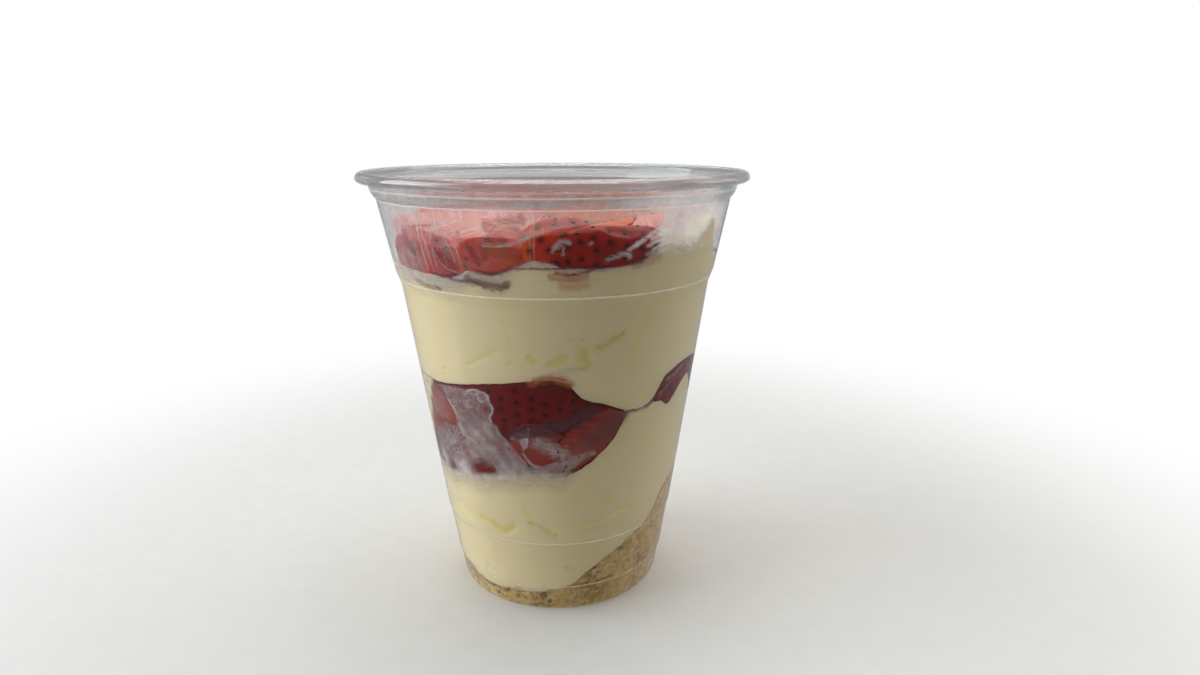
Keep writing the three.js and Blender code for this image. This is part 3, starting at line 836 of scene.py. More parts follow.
def strawberry(
    name, number, length, width, cut, low, high, ripe=0.5, detail=1.4, contact=0.14, heart=0.3,
    seeded=1.0, **lie
):
    """One cut piece of strawberry, laid in the cup and pressed to its wall from low to high, which
    are the edges of the creams under and over it. A greater contact lies over the other pieces."""

    def reach_at(turn_along):
        """Radius of the whole fruit at a turn along it, from its stalk end (0) to its tip (pi)."""
        taper = BERRY_FULLNESS * (1 + BERRY_TAPER * np.cos(turn_along))
        return width / 2 * np.sin(turn_along) ** BERRY_BLUNTNESS * taper

    stations = max(int(length * detail * 1.1), 20)
    turns = np.linspace(END_TURN, np.pi - END_TURN, stations)
    if cut == "slab":
        wide_enough = turns[reach_at(turns) > SLAB_NEAR * width * 1.05]
        turns = np.linspace(wide_enough[0], wide_enough[-1], stations)
    reach = reach_at(turns)
    y, z, on_cut = berry_shape(cut, reach, width, detail)
    along = np.repeat(-np.cos(turns)[:, None], y.shape[1], axis=1)
    local = np.stack([length / 2 * along, y, z], -1)
    from_core = np.hypot(y, z) / np.maximum(reach[:, None], 1e-6)
    own = local + 100 * number
    local[..., 1:] *= (1 + 0.045 * waves(own, 10, 60) + 0.02 * waves(own, 4, 61))[..., None]
    local[..., 1] += 0.06 * (draw(number + 300) - 0.5) * width * along**2
    basis, middle = placement(**lie)
    placed, pressed = held_in_cup(local @ basis.T + middle, contact, low, high)

    skin = on_cut == 0
    normal = grid_normals(placed)
    seeds = []
    dimple = np.zeros(y.shape)
    skin_turn = np.arctan2(y, z)
    for turn_along, around in seed_places(length, reach_at, number):
        around = half_turn(around)
        along_gap = (turns - turn_along)[:, None] * length / 2
        side_gap = half_turn(skin_turn - around) * reach[:, None]
        gap = np.where(skin[None], np.hypot(along_gap, side_gap), 99)
        if gap.min() < 0.8 and draw(100 * number + 31 * turn_along + 7 * around) < seeded:
            seeds.append(np.unravel_index(gap.argmin(), gap.shape))
            dimple = np.maximum(dimple, np.exp(-((gap / DIMPLE_RADIUS) ** 2)))
    fibres = waves(local * (0.5, 1, 1), 1.6, 62 + number) * 0.07 * (1 - skin) * (1 - pressed)
    placed = placed - normal * (DIMPLE_DEPTH * dimple * (1 - 0.8 * pressed) - fibres)[..., None]

    columns = placed.shape[1]
    points = [placed.reshape(-1, 3), placed[0].mean(0)[None], placed[-1].mean(0)[None]]
    first, last = stations * columns, stations * columns + 1
    rows = (np.arange(stations - 1) * columns)[:, None]
    column = np.arange(columns)
    after = (column + 1) % columns
    ahead = rows + columns
    quads = np.stack([rows + column, rows + after, ahead + after, ahead + column], -1)
    faces = quads.reshape(-1, 4).tolist()
    flesh_column = ((on_cut[column] + on_cut[after]) > 0).astype(int)
    kinds = np.tile(flesh_column, stations + 1).tolist()
    end_row = (stations - 1) * columns
    faces += [(first, b, a) for a, b in zip(column, after)]
    faces += [(last, end_row + a, end_row + b) for a, b in zip(column, after)]
    for n, (station, at) in enumerate(seeds):
        ahead = min(station + 1, stations - 1)
        lengthwise = placed[ahead, at] - placed[ahead - 1, at]
        lengthwise /= np.linalg.norm(lengthwise)
        up = normal[station, at]
        side = np.cross(up, lengthwise)
        axes = np.stack([lengthwise, side / np.linalg.norm(side), up])
        points.append(SEED_POINTS @ axes + placed[station, at] + up * SEED_LIFT)
        base = last + 1 + n * len(SEED_POINTS)
        faces += [tuple(base + corner for corner in face) for face in SEED_FACES]
        kinds += [2] * len(SEED_FACES)
    points = np.concatenate(points)
    piece = new_piece(name, points, faces, BERRY_MATERIALS)
    piece.data.polygons.foreach_set("material_index", kinds)
    fill = np.full(len(points) - first, 0.5)
    marks = {"core": from_core, "length": along, "dimple": dimple, "pressed": pressed}
    for mark, values in marks.items():
        paint(piece, mark, np.concatenate([values.ravel(), fill]))
    for mark, value in (("ripe", ripe), ("heart", heart)):
        paint(piece, mark, np.full(len(points), value))
    return piece


# What skin and cut faces share: how unripe the piece is, from the ripeness painted on it, and the
# wet juice on it, which is missing where the plastic presses it.
fruit_state, asked = new_group("fruit_state", Wet=0.3)
give_out(
    fruit_state,
    Wet=carried(fruit_state, add_attribute(fruit_state, "pressed"), asked["Wet"], 0.0),
    Unripe=carried(fruit_state, add_attribute(fruit_state, "ripe"), 0.0, 1.0, 0.0, -1.0),
)

skin_material, tree, surface = new_material(
    "strawberry_skin", Subsurface_Weight=0.06, Subsurface_Scale=0.002, Coat_Roughness=0.12,
    Specular_IOR_Level=0.12,
)
state = add_node(tree, "Group", {"Wet": 0.28}, node_tree=fruit_state).outputs
blotch, gloss = mottled(tree, 160.0, 4.0, 0.22, 0.42)
pores, _ = mottled(tree, 1400.0, 3.0)
ripeness = worked_out(tree, "ADD", blotch, add_attribute(tree, "ripe"))
patches = carried(tree, blotch, 0.2, 1.7, 0.42, 0.56)
unripe = worked_out(tree, "MULTIPLY", state["Unripe"], patches, use_clamp=True)
red = colour_mix(tree, unripe, SKIN_BRIGHT, SKIN_ORANGE)
red = colour_mix(tree, carried(tree, ripeness, 0.0, 1.0, 0.4, 1.35), red, SKIN_DARK)
# The dimples are painted darker, as shade in the hollows.
sunk = worked_out(tree, "MULTIPLY", add_attribute(tree, "dimple"), 0.85)
finish(
    tree, surface, colour_mix(tree, sunk, red, DIMPLE_SHADE), gloss, (pores, 0.2, 0.0002),
    Coat_Weight=state["Wet"],
)

flesh_material, tree, surface = new_material(
    "strawberry_flesh", Subsurface_Weight=0.2, Subsurface_Scale=0.003, Coat_Roughness=0.15,
    Specular_IOR_Level=0.15, Subsurface_Radius=(1.0, 0.35, 0.25),
)
state = add_node(tree, "Group", {"Wet": 0.45}, node_tree=fruit_state).outputs
fibre, gloss = mottled(tree, 500.0, 4.0, 0.2, 0.5)
core, along, ripe = (add_attribute(tree, name) for name in ("core", "length", "ripe"))
slant = worked_out(tree, "MULTIPLY_ADD", core, 0.55, along)
fan = add_node(tree, "CombineXYZ", {"X": slant, "Y": core, "Z": ripe}).outputs[0]
fan = add_node(tree, "Mapping", {"Vector": fan, "Scale": VEIN_GRAIN}).outputs[0]
veins = add_node(tree, "TexNoise", {"Vector": fan, "Scale": 1.0, "Detail": 3.0}).outputs["Fac"]
veins = worked_out(tree, "MULTIPLY", carried(tree, veins, 0.0, 1.0, 0.5, 0.68), 0.55)
oval = {"X": worked_out(tree, "MULTIPLY", along, 1.25), "Y": core}
oval = add_node(tree, "CombineXYZ", oval).outputs[0]
from_heart = add_node(tree, "VectorMath", {0: oval}, operation="LENGTH").outputs["Value"]
heart = worked_out(tree, "SUBTRACT", add_attribute(tree, "heart"), from_heart)
body = FLESH_RED
for share, colour in (
    (carried(tree, core, 1.0, 0.0, 0.15, 0.75), FLESH_PINK),
    (veins, FLESH_PALE),
    (carried(tree, heart, 0.0, 1.0, -0.05, 0.12), FLESH_PALE),
    (carried(tree, core, 0.0, 1.0, 0.86, 0.97), SKIN_BRIGHT),
    (worked_out(tree, "MULTIPLY", state["Unripe"], 0.9), SKIN_ORANGE),
    (carried(tree, ripe, 0.0, 0.9, 0.45, 1.1), JUICE_SOAKED),
):
    body = colour_mix(tree, share, body, colour)
finish(tree, surface, body, gloss, (fibre, 0.35, 0.0004), Coat_Weight=state["Wet"])

seed_material, tree, surface = new_material(
    "strawberry_seed", Roughness=0.6, Specular_IOR_Level=0.1
)
finish(tree, surface, colour_mix(tree, mottled(tree, 220.0, 1.0)[0], *SEED_HUSK))
BERRY_MATERIALS = [skin_material, flesh_material, seed_material]

# Pieces of the band that show, from the left of the front to its right: angle, height, length,
# width, rise, press and ripeness.
band = [
    on_the_wall(-54, 52.6, 19, 14, 10, 1.4, 1.3, face_out=True, contact=0.22, heart=0.0),
    on_the_wall(-18, 59.2, 42, 25, 2, 2.6, 0.85, cut="wedge"),
    on_the_wall(14, 57.0, 24, 16, -14, 2.2, 0.95, cut="wedge", contact=0.1),
    on_the_wall(19, 50.4, 22, 13, 34, 1.6, 1.02, face_out=True, contact=0.26, heart=0.0),
    on_the_wall(-2, 47.4, 18, 12, -24, 1.4, 1.2, face_out=True, contact=0.22, heart=0.0),
    on_the_wall(-27, 48.2, 25, 16, -6, 1.8, 0.7, contact=0.1),
    on_the_wall(12, 43.2, 16, 9, 36, 0.8, 0.3, cut="slab", roll=60, contact=0.18),
    on_the_wall(-55, 38.4, 15, 12, -8, 2.0, 0.8),
    on_the_wall(-31, 39.4, 18, 9, 4, 2.0, 0.8, cut="wedge"),
    on_the_wall(55, 60.2, 21, 10, 26, 2.0, 0.7),
]
BAND_BACK_PIECES, BAND_BACK_FROM, BAND_BACK_STEP, BAND_BACK_PRESS = 6, 88, 34, 1.4
BAND_BACK = {"wander": (-2.5, 2.5), "shift": (-1.5, 1.5), "length": (21, 26), "width": (17, 22),
             "rise": (-25, 25)}
for n in range(BAND_BACK_PIECES):
    sizes = drawn_sizes(n, BAND_BACK)
    angle = BAND_BACK_FROM + n * BAND_BACK_STEP + sizes.pop("wander")
    edges = round_the_cup(BAND_BOTTOM, angle) + round_the_cup(BAND_TOP, angle)
    band.append(on_the_wall(
        angle, edges / 2 + sizes.pop("shift"), **sizes, press=BAND_BACK_PRESS, detail=1.4,
        cut="wedge" if n % 3 == 1 else "half", face_out=n % 3 == 2, ripe=0.4 + 0.5 * draw(n + 500),
    ))

# A dark sheet at the wall behind the pieces, partly juice and partly painted shade in the gaps.
juice_and_shade_material, tree, surface = new_material(
    "juice_and_gap_shade", Roughness=0.5, Specular_IOR_Level=0.1
)
cloud, _ = mottled(tree, 130.0, 4.0)
finish(tree, surface, colour_mix(tree, cloud, *JUICE_AND_GAP_SHADE), relief=(cloud, 0.4, 0.001))
row = np.linspace(0, 1, 12)
sheet_height = (band_bottom - 0.5)[:, None] + (band_top - band_bottom + 1.0)[:, None] * row
shut = 1 - smooth((band_top - band_bottom - 0.7) / 1.2)
sheet_radius = wall_radius(sheet_height) + SHEET_CONTACT - BERRY_SINK * shut[:, None]
in_share = np.linspace(0, 1, 8)[:-1]
under, over = sheet_radius[:, :1] * in_share, sheet_radius[:, -1:] * in_share[::-1]
points, faces = around_the_cup(
    np.concatenate([under, sheet_radius, over], 1),
    np.concatenate([meeting_height(under) - 0.5, sheet_height, meeting_height(over) + 0.5], 1),
)
new_piece("juice_and_gap_shade", points, faces, [juice_and_shade_material])

for n, piece in enumerate(band):
    berry = strawberry(f"band_strawberry_{n + 1}", n + 1, low=BAND_BOTTOM, high=BAND_TOP, **piece)
    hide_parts(f"band_berry_{n + 1}")


# The heap on top. More cut strawberries, tipped in on the cream: the front ones lean on the plastic
# and the rest lie with their cut faces up.
CREAM_EDGE = [
    (-135, 91), (-90, 89.5), (-53, 88.7), (-31, 88.3), (-23, 90.2), (-16, 89.7), (-10, 91),
    (-6.6, 92.2), (-3, 93), (0, 92.6), (4, 91.6), (10, 91.4), (16, 91.1), (20, 91), (24.6, 91.4),
    (29.5, 92.3), (32, 93), (34.5, 94.4), (36.2, 97.4), (38, 98.7), (41.5, 97.8), (46.7, 96.4),
    (51.5, 97.2), (56.3, 99.6), (59.3, 100.6), (61.8, 98.2), (63.6, 95), (66, 92.2), (70, 90.6),
    (80, 89.5), (110, 90.5), (140, 92), (185, 90),
]


def lying(angle, out, height, length, width, roll, ripe, **rest):
    """A piece that lies in the heap, with its middle out from the cup's axis."""
    lie = dict(angle=angle, out=out, height=height, length=length, width=width, roll=roll)
    return {"cut": "half", "ripe": ripe, **lie, **rest}


# Pieces that show, the lying ones given by angle, distance out, height, length, width, roll and
# ripeness, and the others as in the band.
heap = [
    lying(-30, 32, 100, 38, 24, 116, 0.1, heart=0.0, detail=2.4, contact=0.1),
    on_the_wall(-40, 92, 28, 16, -3, 2, 0.15, cut="wedge", contact=0.16, seeded=0.12),
    on_the_wall(-13, 93.6, 22, 15, 6, 2, -0.2, roll=12, cut="wedge", contact=0.16, seeded=0.15),
    on_the_wall(3, 96.4, 17, 12, 24, 1.4, -0.45, roll=20, contact=0.18),
    on_the_wall(21.4, 94, 30, 17.6, 4, 2.4, 0.35, roll=42, contact=0.2),
    lying(16, 33.5, 101.2, 21, 13, 128, -0.7, rise=4, heart=0.0, detail=2.4),
    lying(43, 30.5, 99.6, 26, 18, 106, 0.3, rise=6, heart=0.0),
    lying(-57, 31, 99.8, 25, 18, 100, 0.2, heading=18),
]
HEAP_BACK_PIECES, HEAP_BACK_FROM, HEAP_BACK_STEP, HEAP_BACK_DRAWS = 7, 74, 31.5, 3
HEAP_BACK = {
    "wander": (-2.5, 2.5), "out": (31, 32.5), "height": (95.4, 98.4), "length": (25, 31),
    "width": (18, 22), "heading": (-15, 15), "rise": (-8, 8), "roll": (60, 125),
}
HEADING_IN = (80, 110)
HEAP_MIDDLE_PIECES, HEAP_MIDDLE_FROM, HEAP_MIDDLE_STEP, HEAP_MIDDLE_DRAWS = 5, 12, 72, 163
HEAP_MIDDLE_OUT = 14
HEAP_MIDDLE = {
    "height": (98.6, 100.6), "length": (28, 32), "width": (20, 23), "heading": (70, 110),
    "rise": (-7, 7), "roll": (70, 130),
}
for n in range(HEAP_BACK_PIECES):
    ranges = {**HEAP_BACK, "heading": HEADING_IN} if n % 2 else HEAP_BACK
    sizes = drawn_sizes(n + HEAP_BACK_DRAWS, ranges)
    angle = HEAP_BACK_FROM + n * HEAP_BACK_STEP + sizes.pop("wander")
    heap.append(lying(
        angle, **sizes, cut="wedge" if n % 4 == 2 else "half", ripe=0.1 + 0.5 * draw(n + 600),
    ))
for n in range(HEAP_MIDDLE_PIECES):
    heap.append(lying(
        HEAP_MIDDLE_FROM + n * HEAP_MIDDLE_STEP, HEAP_MIDDLE_OUT,
        **drawn_sizes(n + HEAP_MIDDLE_DRAWS, HEAP_MIDDLE), ripe=0.1 + 0.4 * draw(n + 700),
    ))
for n, piece in enumerate(heap):
    berry = strawberry(f"top_strawberry_{n + 1}", n + 101, low=CREAM_EDGE, high=None, **piece)
    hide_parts(f"top_berry_{n + 1}")


# The upper cream, spooned over the strawberries and pressed level, with a bank left up the wall at
# the right. Its top shows between the strawberries of the heap.
CREAM_MIDDLE = 89.5
CREAM_WALL = 40.5
CREAM_SHOULDER = 0.6
UPPER_PITS = [
    ([(-29.4, 67.7), (-24.9, 69.3), (-18.7, 71.5)], 0.45, 0.5),
    ([(-14, 69), (-12.8, 69.6)], 0.35, 0.6),
    ([(-6.1, 70.8), (-4.5, 69.9)], 0.6, 0.7),
    ([(1.3, 69.1), (3.8, 69.7), (6, 70.5)], 0.75, 0.85),
    ([(12.6, 72.2), (12.3, 70.6), (13.3, 69)], 1.2, 0.9),
    ([(17.6, 72.8), (21.5, 74.1), (25.6, 75.6)], 0.9, 0.92),
    ([(11.2, 75), (12, 75)], 0.35, 0.8),
    ([(7.8, 75), (8.4, 75)], 0.3, 0.7),
    ([(-43, 65.1), (-42.4, 65.1)], 0.3, 0.8),
    # The last three are long faint streaks down the cream, painted in as reflections on the
    # plastic.
    ([(-14.7, 81.8), (-13.2, 77.2), (-10.6, 71.1), (-6.5, 66)], 0.5, 0.16),
    ([(-3.1, 82.1), (-4.5, 77.5), (-4.3, 72.4)], 0.5, 0.12),
    ([(34.3, 80.5), (31.6, 73.6), (28.1, 66.6)], 0.9, 0.2),
]
cream_edge = round_the_cup(CREAM_EDGE, turn)


def top_face(radius):
    """The top of the cream: level in the middle, then up or down to its edge at the wall."""
    inner = CREAM_SHOULDER * CREAM_WALL
    edge = smooth((radius - inner) / (CREAM_WALL - inner))
    return CREAM_MIDDLE + (cream_edge[:, None] - CREAM_MIDDLE) * edge


upper_cream = cream_layer(
    "upper_cream", band_top + 0.25 * uneven + 0.1, cream_edge + uneven,
    partial(band_face, band_top), top_face, UPPER_PITS + scattered_pits(18, 68, 84, 52),
)
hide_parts("cream_upper")
core_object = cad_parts["filling_core"]
core_object.data.materials.clear()
core_object.data.materials.append(flesh_material)


# The smears on the plastic. Where the fruit was dragged past it the cream left a thin white film,
# streaked and curled, and juice stained it. Places are (angle, height), widths millimetres.
SMEAR_STEP = 0.21
SMEAR_INTO_WALL = 0.32
STAIN_INTO_WALL = 0.37
# Least cover that is still drawn, and the width under which a stroke is a plain scratch.
LEAST_COVER = 0.02
SCRATCH_WIDTH = 0.3
# Strength of the film's painted glow, a little light of its own.
FILM_PAINTED_GLOW = 0.16
FILM_WHITE = [(0.84, 0.78, 0.78, 1), (0.97, 0.93, 0.91, 1)]
FILM_PINK = [(0.51, 0.39, 0.39, 1), (0.82, 0.72, 0.68, 1)]
FILM_CREAM = (0.87, 0.745, 0.49, 1)
STAIN_COLOURS = [
    (0.0, (0.08, 0.03, 0.055, 1)), (1.0, (0.66, 0.17, 0.04, 1)), (0.5, (0.33, 0.02, 0.015, 1)),
]
STAIN_PALE = (0.30, 0.06, 0.05, 1)
# Millimetres along the wall for each degree.
BAND_SCALE = 0.576
TOP_SCALE = 0.733
BAND_FILM = [
    (-48, 60.4), (-37.7, 61.1), (-32, 61.1), (-25.2, 61.4), (-22.7, 60.3), (-21.5, 57.8),
    (-22.1, 56), (-23.1, 53.8), (-20.6, 52.9), (-19.1, 50.6), (-17.4, 49.8), (-14.8, 47.7),
    (-11.8, 45.2), (-8.4, 43.2), (-3, 42.4), (2.7, 44.2), (8.3, 45.9), (13.9, 46.1), (13.9, 45.1),
    (9, 42.8), (4.7, 40.5), (-2.5, 38.5), (-9.8, 36.7), (-25.4, 35), (-44, 34), (-60, 33),
    (-62, 44), (-58, 46.4), (-50.5, 49.8), (-41.2, 50.2), (-40.2, 54), (-44.5, 57.7), (-49.1, 59.7),
]
LEAF = [
    (-15.9, 50), (-13.5, 51.5), (-10.6, 52.4), (-8.1, 53.1), (-8.4, 51.4), (-8.8, 49.9),
    (-9.5, 48), (-10.5, 47), (-11.4, 48.8), (-12.7, 49.7),
]
# Each stroke is its line, its width and how strongly it covers.
BAND_STROKES = [
    ([(-32.1, 60.8), (-28.7, 61.5), (-25.3, 61.2), (-22.9, 60.5), (-23.1, 59), (-21.7, 57.8),
      (-21.9, 56.5), (-23.4, 55), (-22.8, 53.8)], 0.22, 0.75),
    ([(-28.3, 60.2), (-26.1, 61.2), (-24, 61.1), (-23.5, 59.9), (-25.3, 58.8), (-27, 59),
      (-27.4, 59.8)], 0.2, 0.7),
    ([(-33.5, 59.8), (-31.1, 60.5), (-29.2, 59.9), (-30.4, 58.6), (-32.7, 58.7)], 0.22, 0.5),
    ([(-44.6, 57.4), (-42, 55.7), (-40.1, 53.6), (-39.1, 50.9), (-37.9, 48.5)], 0.25, 0.8),
    ([(-40.8, 55.9), (-39, 53.8), (-38, 51.1), (-36.9, 48.4)], 0.2, 0.6),
    ([(-36.9, 48.5), (-33.6, 47.9), (-31.2, 46.6), (-28.8, 44.8)], 0.2, 0.75),
    ([(-36.4, 48), (-33.5, 46.7), (-31.1, 45.4), (-29.5, 44.3)], 0.2, 0.7),
    ([(-34.9, 48.5), (-30.2, 47), (-27.6, 45.2)], 0.2, 0.5),
    ([(-58, 46.4), (-54.9, 44), (-51.2, 41.8), (-48, 39.4)], 0.25, 0.5),
    ([(-52.3, 47.8), (-49.2, 45.2), (-47, 42.6), (-44.1, 40.5)], 0.22, 0.5),
    ([(-47.4, 48.5), (-45.4, 45.9), (-43.4, 43.3), (-41.3, 41.2)], 0.22, 0.45),
    ([(-43.7, 48.2), (-42.2, 46), (-40.4, 43.4), (-38.5, 41.8)], 0.22, 0.45),
    ([(-8.1, 53.1), (-8.4, 51.4), (-8.8, 49.9), (-9.5, 48)], 0.2, 0.8),
    ([(-11, 46.2), (-9, 44.4), (-6.5, 43.2), (-2.6, 42.9), (2, 44)], 0.35, 0.6),
    ([(-4.4, 49.4), (-1.6, 48.7), (1.6, 47.6), (4.4, 46.4)], 1.5, 0.66),
    ([(-7.5, 41.6), (-1.9, 42), (3.8, 43.6), (9.3, 45.2), (16.5, 46.2)], 0.55, 0.6),
    ([(-2.5, 65.9), (2.6, 67.1), (7.1, 68), (11.6, 68.3)], 0.6, 0.3),
    ([(49, 61.6), (54, 62.2), (58.5, 63.2)], 0.5, 0.35),
    ([(45.5, 58), (49.5, 59.6), (54, 61)], 0.35, 0.25),
]
# Middle, half width, half height and how far each soft gap opens the white veil over the fruit.
VEIL_GAPS = [
    (-50.4, 37, 3.4, 2.4, 0.8), (-31.5, 39.7, 3.4, 1.7, 0.8), (-25, 40.4, 1.4, 0.9, 0.5),
    (12.2, 43.4, 4.2, 1.3, 0.0),
]
BAND_DARK = [([(-15.4, 49.4), (-14, 48.2), (-12, 46.4), (-10.4, 44.8), (-8.6, 43.1)], 0.2, 1.0)]
# How far left the film and the cream's tongue reach at each height: heights, then angles.
FILM_LEFT = (43, 52, 58, 62), (-66, -58.5, -54, -50)
TONGUE_LEFT = (40, 46, 52, 57, 61), (-83, -79, -77.5, -79.5, -83)
BAND_UPPER = 51
BAND_VEIL = 43
BAND_TRAIL = 5.2
# Each stain is its line, its width, its strength and its hue, from dark (0) to orange (1).
BAND_STAINS = [
    ([(-13, 51.4), (-7, 52.6), (-1, 53.2), (4, 53.6), (9, 55), (15, 57)], 1.3, 0.9, 0.0),
    ([(-9, 51.4), (-4, 51.9), (2, 51.9)], 0.8, 0.75, 0.0),
    ([(-6, 64.6), (-2.5, 65.4), (1.5, 65.7), (5.4, 65), (7.1, 64.2)], 0.8, 0.75, 1.0),
    ([(-60, 50.2), (-54, 49), (-48, 49.4)], 1.6, 0.45, 0.25),
    ([(16, 49.6), (20, 51.5), (25, 54)], 1.8, 0.4, 0.0),
    ([(22, 51.2), (25, 53), (28, 54.6)], 1.3, 0.5, 0.0),
]
FILM_LINE = [
    (-17.8, 96), (-13.7, 95.9), (-8.9, 96.5), (-5.5, 97.8), (-2.3, 98.6), (1.7, 99.6), (5.9, 100.2),
    (10.6, 100.7), (15, 101.1), (19.7, 101.6), (25, 102.2), (29.9, 102.7), (36.1, 103.1),
    (43.6, 103.3), (52, 103.4),
]
TOP_STROKES = [
    (FILM_LINE, 0.13, 0.9),
    ([(x, y + 0.4) for x, y in FILM_LINE], 0.35, 0.4),
    ([(-9.5, 96.3), (-6.2, 97.3), (-3.2, 98.3), (-0.5, 99)], 0.4, 0.75),
    ([(-43.8, 102.1), (-43.6, 97.5), (-43.3, 91.1), (-42, 89)], 0.11, 0.6),
    ([(-39.3, 103.1), (-40.3, 99.2), (-40.3, 94.5), (-39.4, 89.5)], 0.14, 0.75),
    ([(-36.9, 103), (-38.4, 98.8), (-38.1, 94.7), (-37.3, 91.6)], 0.10, 0.6),
    ([(-34.9, 101), (-35.6, 96.9), (-35.7, 93.8), (-34.8, 90.2)], 0.10, 0.6),
    ([(-34.6, 98.6), (-32.4, 100.1), (-29, 100.7), (-26.4, 99.6), (-24, 97.2), (-22.4, 93.6)],
     0.10, 0.5),
    ([(-35.4, 94.8), (-34.2, 92.4), (-31, 90.4), (-27.4, 89.8)], 0.12, 0.6),
    ([(-35.2, 97.2), (-34.2, 99), (-32.2, 99.4), (-31, 98)], 0.22, 0.5),
    ([(-33.2, 98.8), (-30.4, 99), (-28, 97.4), (-26.2, 94.5), (-25.4, 91.6)], 0.12, 0.65),
    ([(-33, 97.6), (-31, 97.6), (-29.4, 96.2), (-28.2, 94), (-27.4, 91.8)], 0.10, 0.6),
    ([(-32.4, 96.4), (-31, 95.8), (-29.8, 94.2), (-29, 92.4)], 0.10, 0.4),
    ([(-15.3, 98.4), (-12.9, 100.3), (-9.6, 100.9), (-6.8, 100.4)], 0.09, 0.45),
    ([(-15.3, 96.9), (-12.6, 98.9), (-9.4, 99.7), (-6.8, 99.6)], 0.09, 0.4),
    ([(-3.4, 103.4), (-3.4, 100), (-3.9, 96.6), (-4, 92.1)], 0.09, 0.5),
    ([(-2.4, 103.5), (-2.3, 100.5), (-2.8, 96.6), (-2.8, 92.1)], 0.09, 0.5),
    ([(2.4, 95.2), (3.4, 96.4), (4.6, 97.1), (6.2, 97.2), (7, 96.8)], 0.42, 0.85),
    ([(3.4, 95.6), (4.6, 96.2), (5.4, 95.6), (5.2, 94.4)], 0.3, 0.5),
    ([(12.6, 96.6), (13.2, 96.8)], 0.3, 0.8),
    ([(18, 92.9), (20, 93.6), (23.6, 94.1), (24.8, 93.4)], 0.5, 0.8),
    ([(24.6, 94.9), (27.7, 96.3), (30.2, 97.4), (33.4, 98.9), (35.8, 99.9)], 0.45, 0.95),
    ([(30.5, 95.4), (32.9, 96.2), (37.1, 96.9)], 0.4, 0.75),
    ([(31, 93.3), (34.1, 94.2), (39.5, 94.9)], 0.3, 0.6),
    ([(-8.3, 91), (-5.8, 91.9), (-3.2, 92.6), (0, 92.2), (3.2, 91.5)], 0.45, 0.75),
    ([(-4, 91.4), (4, 90.9), (10, 90.9), (16, 90.8), (22, 91)], 0.2, 0.6),
    ([(34, 98), (37, 98.2), (42, 97.2), (47, 96.2), (52, 97), (56, 99), (59, 100.2)], 1.0, 1.0),
    ([(36, 96.4), (40, 96), (46, 95.2), (52, 95.8)], 0.9, 0.9),
    ([(36, 94.4), (43, 93.8), (50, 93.6), (56, 94)], 0.8, 0.55),
    ([(31.5, 97), (34, 97.6), (38, 97)], 0.5, 0.8),
]
SCRATCHES = 34
BRISTLES = 26
# Limits of where the scratches and the bristle marks start, round and up, and of their lengths.
SCRATCH_SIZES = [(-48, -30), (94, 103), (2.5, 9)]
BRISTLE_SIZES = [(30, 37), (93, 98), (4, 12)]
SCRATCH_FOOT = 88.8
STAIN_STROKES = [
    ([(-47.5, 86.4), (-43.5, 85.8), (-38.9, 85.4)], 0.5, 0.35, 0.0),
    ([(-37.6, 85.7), (-36.2, 85.4)], 0.35, 0.8, 0.0),
    ([(-24.5, 88.4), (-21, 87.9), (-17.4, 87.3), (-13.4, 87), (-11.4, 87.8)], 0.75, 0.75, 0.12),
    ([(-30.4, 88.2), (-27, 87.8), (-24, 88.3)], 0.3, 0.7, 0.1),
    ([(3, 90.4), (6, 89.9), (9.6, 90.1), (12.6, 90.6), (14, 91.2)], 0.35, 0.8, 0.45),
    ([(1.5, 89.6), (5, 89), (9, 89), (12, 89.4)], 0.6, 0.55, 1.0),
    ([(5, 87.6), (9, 87.3), (12, 87.8)], 0.9, 0.3, 1.0),
    ([(-9, 91.3), (-4, 91.3), (3.9, 91.3), (10.6, 91.4), (17.4, 91.3), (24.8, 91.8), (29, 92.7)],
     0.17, 0.75, 0.35),
    ([(27, 91.2), (31, 91.8), (35, 92.6)], 0.8, 0.28, 0.5),
    ([(-14, 98.2), (-11, 99.2), (-7.6, 99.6)], 1.4, 0.5, 0.5),
    ([(-15.5, 100.3), (-11, 101.2), (-6, 101.6)], 1.0, 0.6, 0.5),
    ([(-15.4, 95.2), (-12, 94.7), (-8.6, 94.5)], 1.1, 0.5, 1.0),
    ([(-20.6, 90.3), (-16.8, 90), (-13, 90.4), (-9.6, 91.3)], 0.45, 0.6, 0.2),
    ([(-48.2, 97.3), (-47.2, 95.3), (-45.6, 93.2)], 0.9, 0.35, 0.1),
    ([(-37.4, 88.9), (-32.7, 88.6), (-27.8, 89.3)], 0.25, 0.7, 0.15),
    ([(-33.4, 95.8), (-32.5, 93.4), (-30, 91.8)], 1.6, 0.28, 0.25),
    ([(-24.5, 96.6), (-21.8, 95.2), (-20, 93)], 0.7, 0.35, 0.1),
    ([(-17.8, 95.8), (-17.2, 93.4)], 0.6, 0.3, 0.15),
]
# Seeds of the front pieces at the left, blurred by the film: place and strength.
BLURRED_SEEDS = [
    (-24.8, 98.6, 0.6), (-19.6, 91.9, 0.6), (-17.5, 92.9, 0.5), (-21.4, 95.3, 0.5),
    (-23.6, 92.8, 0.6),
]
for across, up, strength in BLURRED_SEEDS:
    STAIN_STROKES.append(([(across, up), (across + 0.3, up)], 0.3, strength, 0.0))


def wall_waves(places, size, seed):
    """Waves over the wall laid flat."""
    return waves(np.c_[places, 0 * places[:, 0]], size, seed)


